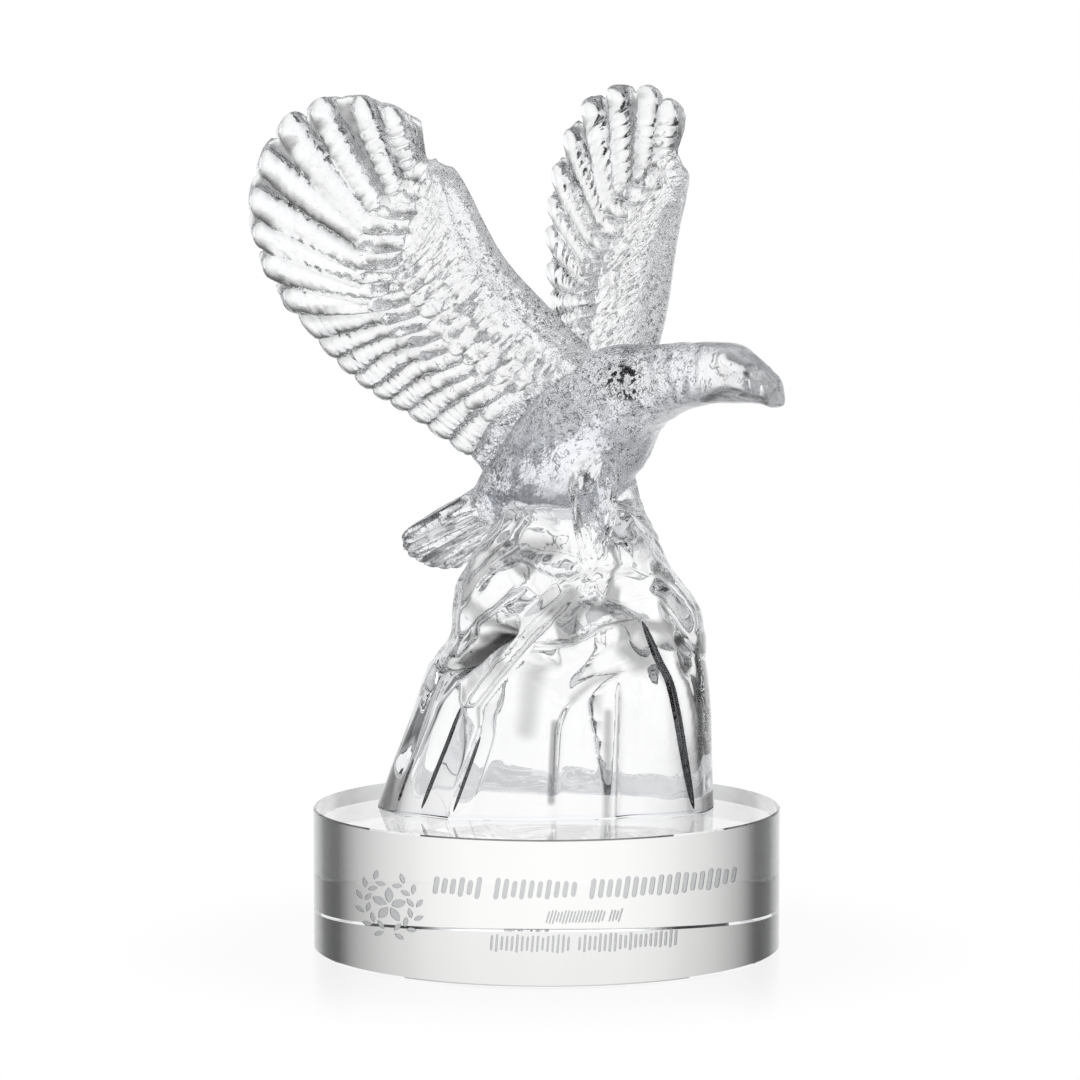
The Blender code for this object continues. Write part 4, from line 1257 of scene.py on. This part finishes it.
# ---------------- the award
def body_finish_and_shade(rings):
    """Frost, pebbles and painted shade (specks, shade) of the body: dull plumage, clear windows on the
    head.
    """
    a, side, h = apart(award_to_eagle(rings))
    neck = smooth_step(22, 34, a)
    head = smooth_step(43, 47, a)
    cheek = 1 - smooth_step(0.8, 1.1, np.hypot((a - 52.6) / 5.6, (h - 156.8) / 5.4))
    beak = 1 - smooth_step(0.75, 1.1, distance_to_line(a, h, [(62.6, 155.9), (66.6, 153.3)]) / 2.0)
    across = smooth_step(44, 47, a) * smooth_step(0.0, 2.0, side)
    window = np.maximum(np.maximum(cheek, beak), 0.85 * across)
    off_shoulder = np.hypot((a - 26.5) / 7.0, (h - 153.5) / 6.5)
    shoulder = 1 - smooth_step(0.4, 1.6, off_shoulder)
    core = 1 - smooth_step(0.5, 1.0, off_shoulder)
    back = smooth_step(-9, -2, h - np.interp(a, (-21, -10, 6, 17, 30), (139, 145, 152, 158, 168)))
    rump = smooth_step(-8, -14, a) * smooth_step(120, 126, h)
    belly = smooth_step(-11, -9, a) * smooth_step(132, 129, h + 1.5 * noise(rings, 3.0, 72))
    flank = bell(h - 132.5, 3.5) * smooth_step(24, 16, a)
    patchy = 0.5 + 0.5 * noise(rings, 6.0, 71)
    frost = mix(mix(0.95, 0.7, neck), 0.44, head) * (1 - window) * (1 - 0.8 * shoulder)
    pebble = 0.14 + 0.36 * np.clip(back + rump + 0.5 * flank * patchy + shoulder, 0, 1)
    rough = np.clip(np.maximum.reduce([back, rump, 0.6 * flank]) * (0.55 + 0.45 * patchy), 0, 1)
    # painted shade: dark specks in the crystal's colour, most on the back, rump, shoulder and neck
    painted_speck_shade = mix(mix(mix(0.48, 0.05, belly), 0.8, rough), 0.62, neck)
    painted_speck_shade += 0.45 * shoulder * patchy + 0.65 * core * (0.5 + 0.5 * patchy) + 0.4 * rump * patchy
    hidden = smooth_step(-1.0, 3.0, side)
    painted_speck_shade *= 1 - 0.75 * hidden
    frost *= 1 - 0.3 * hidden
    frost *= 1 - 0.6 * smooth_step(122, 118, h) * smooth_step(10, 4, a)
    pebble *= 1 - 0.4 * hidden
    nape = bell(np.hypot((a - 45.0) / 1.6, (h - 158.0) / 3.5), 1.0)
    eye_patch = bell(np.hypot(a - EYE[0], (h - EYE[1] + 1.6) / 1.6), 1.2)
    painted_speck_shade = mix(painted_speck_shade, 0.25 * (1 - window) + 0.9 * np.maximum(nape, eye_patch), head)
    # painted shade along the mouth line, under the brow and in the eye
    lip = bell(distance_to_line(a, h, MOUTH), 0.8) * (0.6 + 0.4 * patchy)
    brow = bell(distance_to_line(a, h - 1.1, BROW), 0.6)
    eye = bell(np.hypot(a - EYE[0], h - EYE[1]), 0.7)
    shade = head * np.maximum.reduce([0.45 * lip, 0.25 * brow, 0.7 * eye])
    return together(frost, mix(pebble, 0.12 * (1 - window), head), painted_speck_shade, shade)


def even_finish_and_shade(rings, frost, pebble, painted_speck_shade, shade=0.0):
    """Frost, pebbles, painted dark specks and painted shade over a form, each one number or a number for
    every point.
    """
    return together(rings[..., 0], frost, pebble, painted_speck_shade, shade)[..., 1:]


def forms_finish_and_shade(rock, folds_shade):
    """Each form's rings, and the frost, pebbles, and painted specks and shade of its points."""
    tail, tail_shade = tail_rings()
    near_leg, near_shade = leg_rings(NEAR_LEG)
    far_leg, far_shade = leg_rings(FAR_LEG)
    body = body_rings()
    forms = {"rock": rock, "body": body, "tail": tail, "near_leg": near_leg, "far_leg": far_leg}
    ground_edge = 1 - smooth_step(ROCK_BOTTOM + 0.8, ROCK_BOTTOM + 1.0, rock[..., 2])
    tail_end = smooth_step(-34, -44, award_to_eagle(tail)[..., 0])
    finish_and_shade = {"rock": even_finish_and_shade(rock, ground_edge, 0.0, 0.0, folds_shade),
              "body": body_finish_and_shade(body),
              "tail": even_finish_and_shade(tail, 0.25, 0.12, 0.2 + 0.15 * tail_end, tail_shade),
              "near_leg": even_finish_and_shade(near_leg, 0.0, 0.03, 0.2, near_shade),
              "far_leg": even_finish_and_shade(far_leg, 0.0, 0.05, 0.1, 0.5 * far_shade)}
    for name, wing, gaps, seed in (("near_wing", NEAR_WING, NEAR_GAPS, 60),
                                   ("far_wing", FAR_WING, FAR_GAPS, 160)):
        rings, out, inner, web_shade = wing_rings(wing[-1], gaps, seed)
        forms[name] = place_wing(rings, wing)
        low = smooth_step(46, 26, rings[..., 0])
        lead = smooth_step(0.14, 0.08, out) * (0.25 + 0.75 * low)
        covert = smooth_step(0.60, 0.50, out)
        # painted shade in the webs between feathers and the grooves between coverts, and painted dark
        # specks
        feathers = even_finish_and_shade(rings, 0.3 * lead, 0.06 + 0.08 * covert + 0.2 * lead,
                               0.04 + 0.05 * covert + 0.4 * lead, (0.30 - 0.25 * covert) * web_shade)
        rump = even_finish_and_shade(rings, 0.7, 0.4, 0.85)
        finish_and_shade[name] = mix(feathers, rump, inner[..., None])
    return forms, finish_and_shade


def crystal_eagle(rock, folds_shade, glue):
    """The eagle and its rock, one casting, with the forms' finish and painted shade laid on its points."""
    forms, finish_and_shade = forms_finish_and_shade(rock, folds_shade)
    skins = (cast_crystal(), glue, groove_painted_shade())
    parts = [make_object("form_" + name, *loft(rings)) for name, rings in forms.items()]
    skin = rock.reshape(-1, 3)
    skin = skin[skin[:, 1] < 0]
    slots = [make_object("slot " + name, *loft(slot_rings(*sizes, skin))) for name, *sizes in SLOTS]
    eagle = cast_in_one("crystal_eagle_on_rock", parts[0], parts[1:], slots, skins)
    mesh = eagle.data
    points = vertex_array(mesh)
    nearest = nearest_point(points, [rings.reshape(-1, 3) for rings in forms.values()])
    owners = np.repeat(range(len(forms)), [rings[..., 0].size for rings in forms.values()])
    points = soften_seams(mesh, owners[nearest])
    painted = np.concatenate([finish_and_shade[name].reshape(-1, 4) for name in forms])[nearest]
    edges = edge_array(mesh)
    keep = (points[:, 2] < ROCK_BOTTOM + 2)[:, None]
    for _ in range(3):        # even it out over the seams, but for the shade and the ground edge
        blurred = 0.5 * painted + 0.5 * neighbour_mean(painted, edges)
        painted[:, :3] = np.where(keep, painted, blurred)[:, :3]
    for k, share in enumerate(SHARES):
        paint(mesh, share, painted[:, k])
    underside = points[:, 2] < ROCK_BOTTOM + 0.01
    for face in mesh.polygons:
        if underside[list(face.vertices)].all():
            face.material_index = 1
    mesh.set_sharp_from_angle(angle=radians(50))
    mesh.polygons.foreach_set("use_smooth", [face.material_index != 2 for face in mesh.polygons])
    return eagle


studio_world()
pale_floor()
white_cards()
camera()
render_looks()

glue = bond()
rock, folds_shade = rock_rings()
eagle = crystal_eagle(rock, folds_shade, glue)
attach(eagle, "root")
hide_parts("eagle_on_rock")

base = engraved_base(rock[0], glue)
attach(base, "root")
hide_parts("round_base")
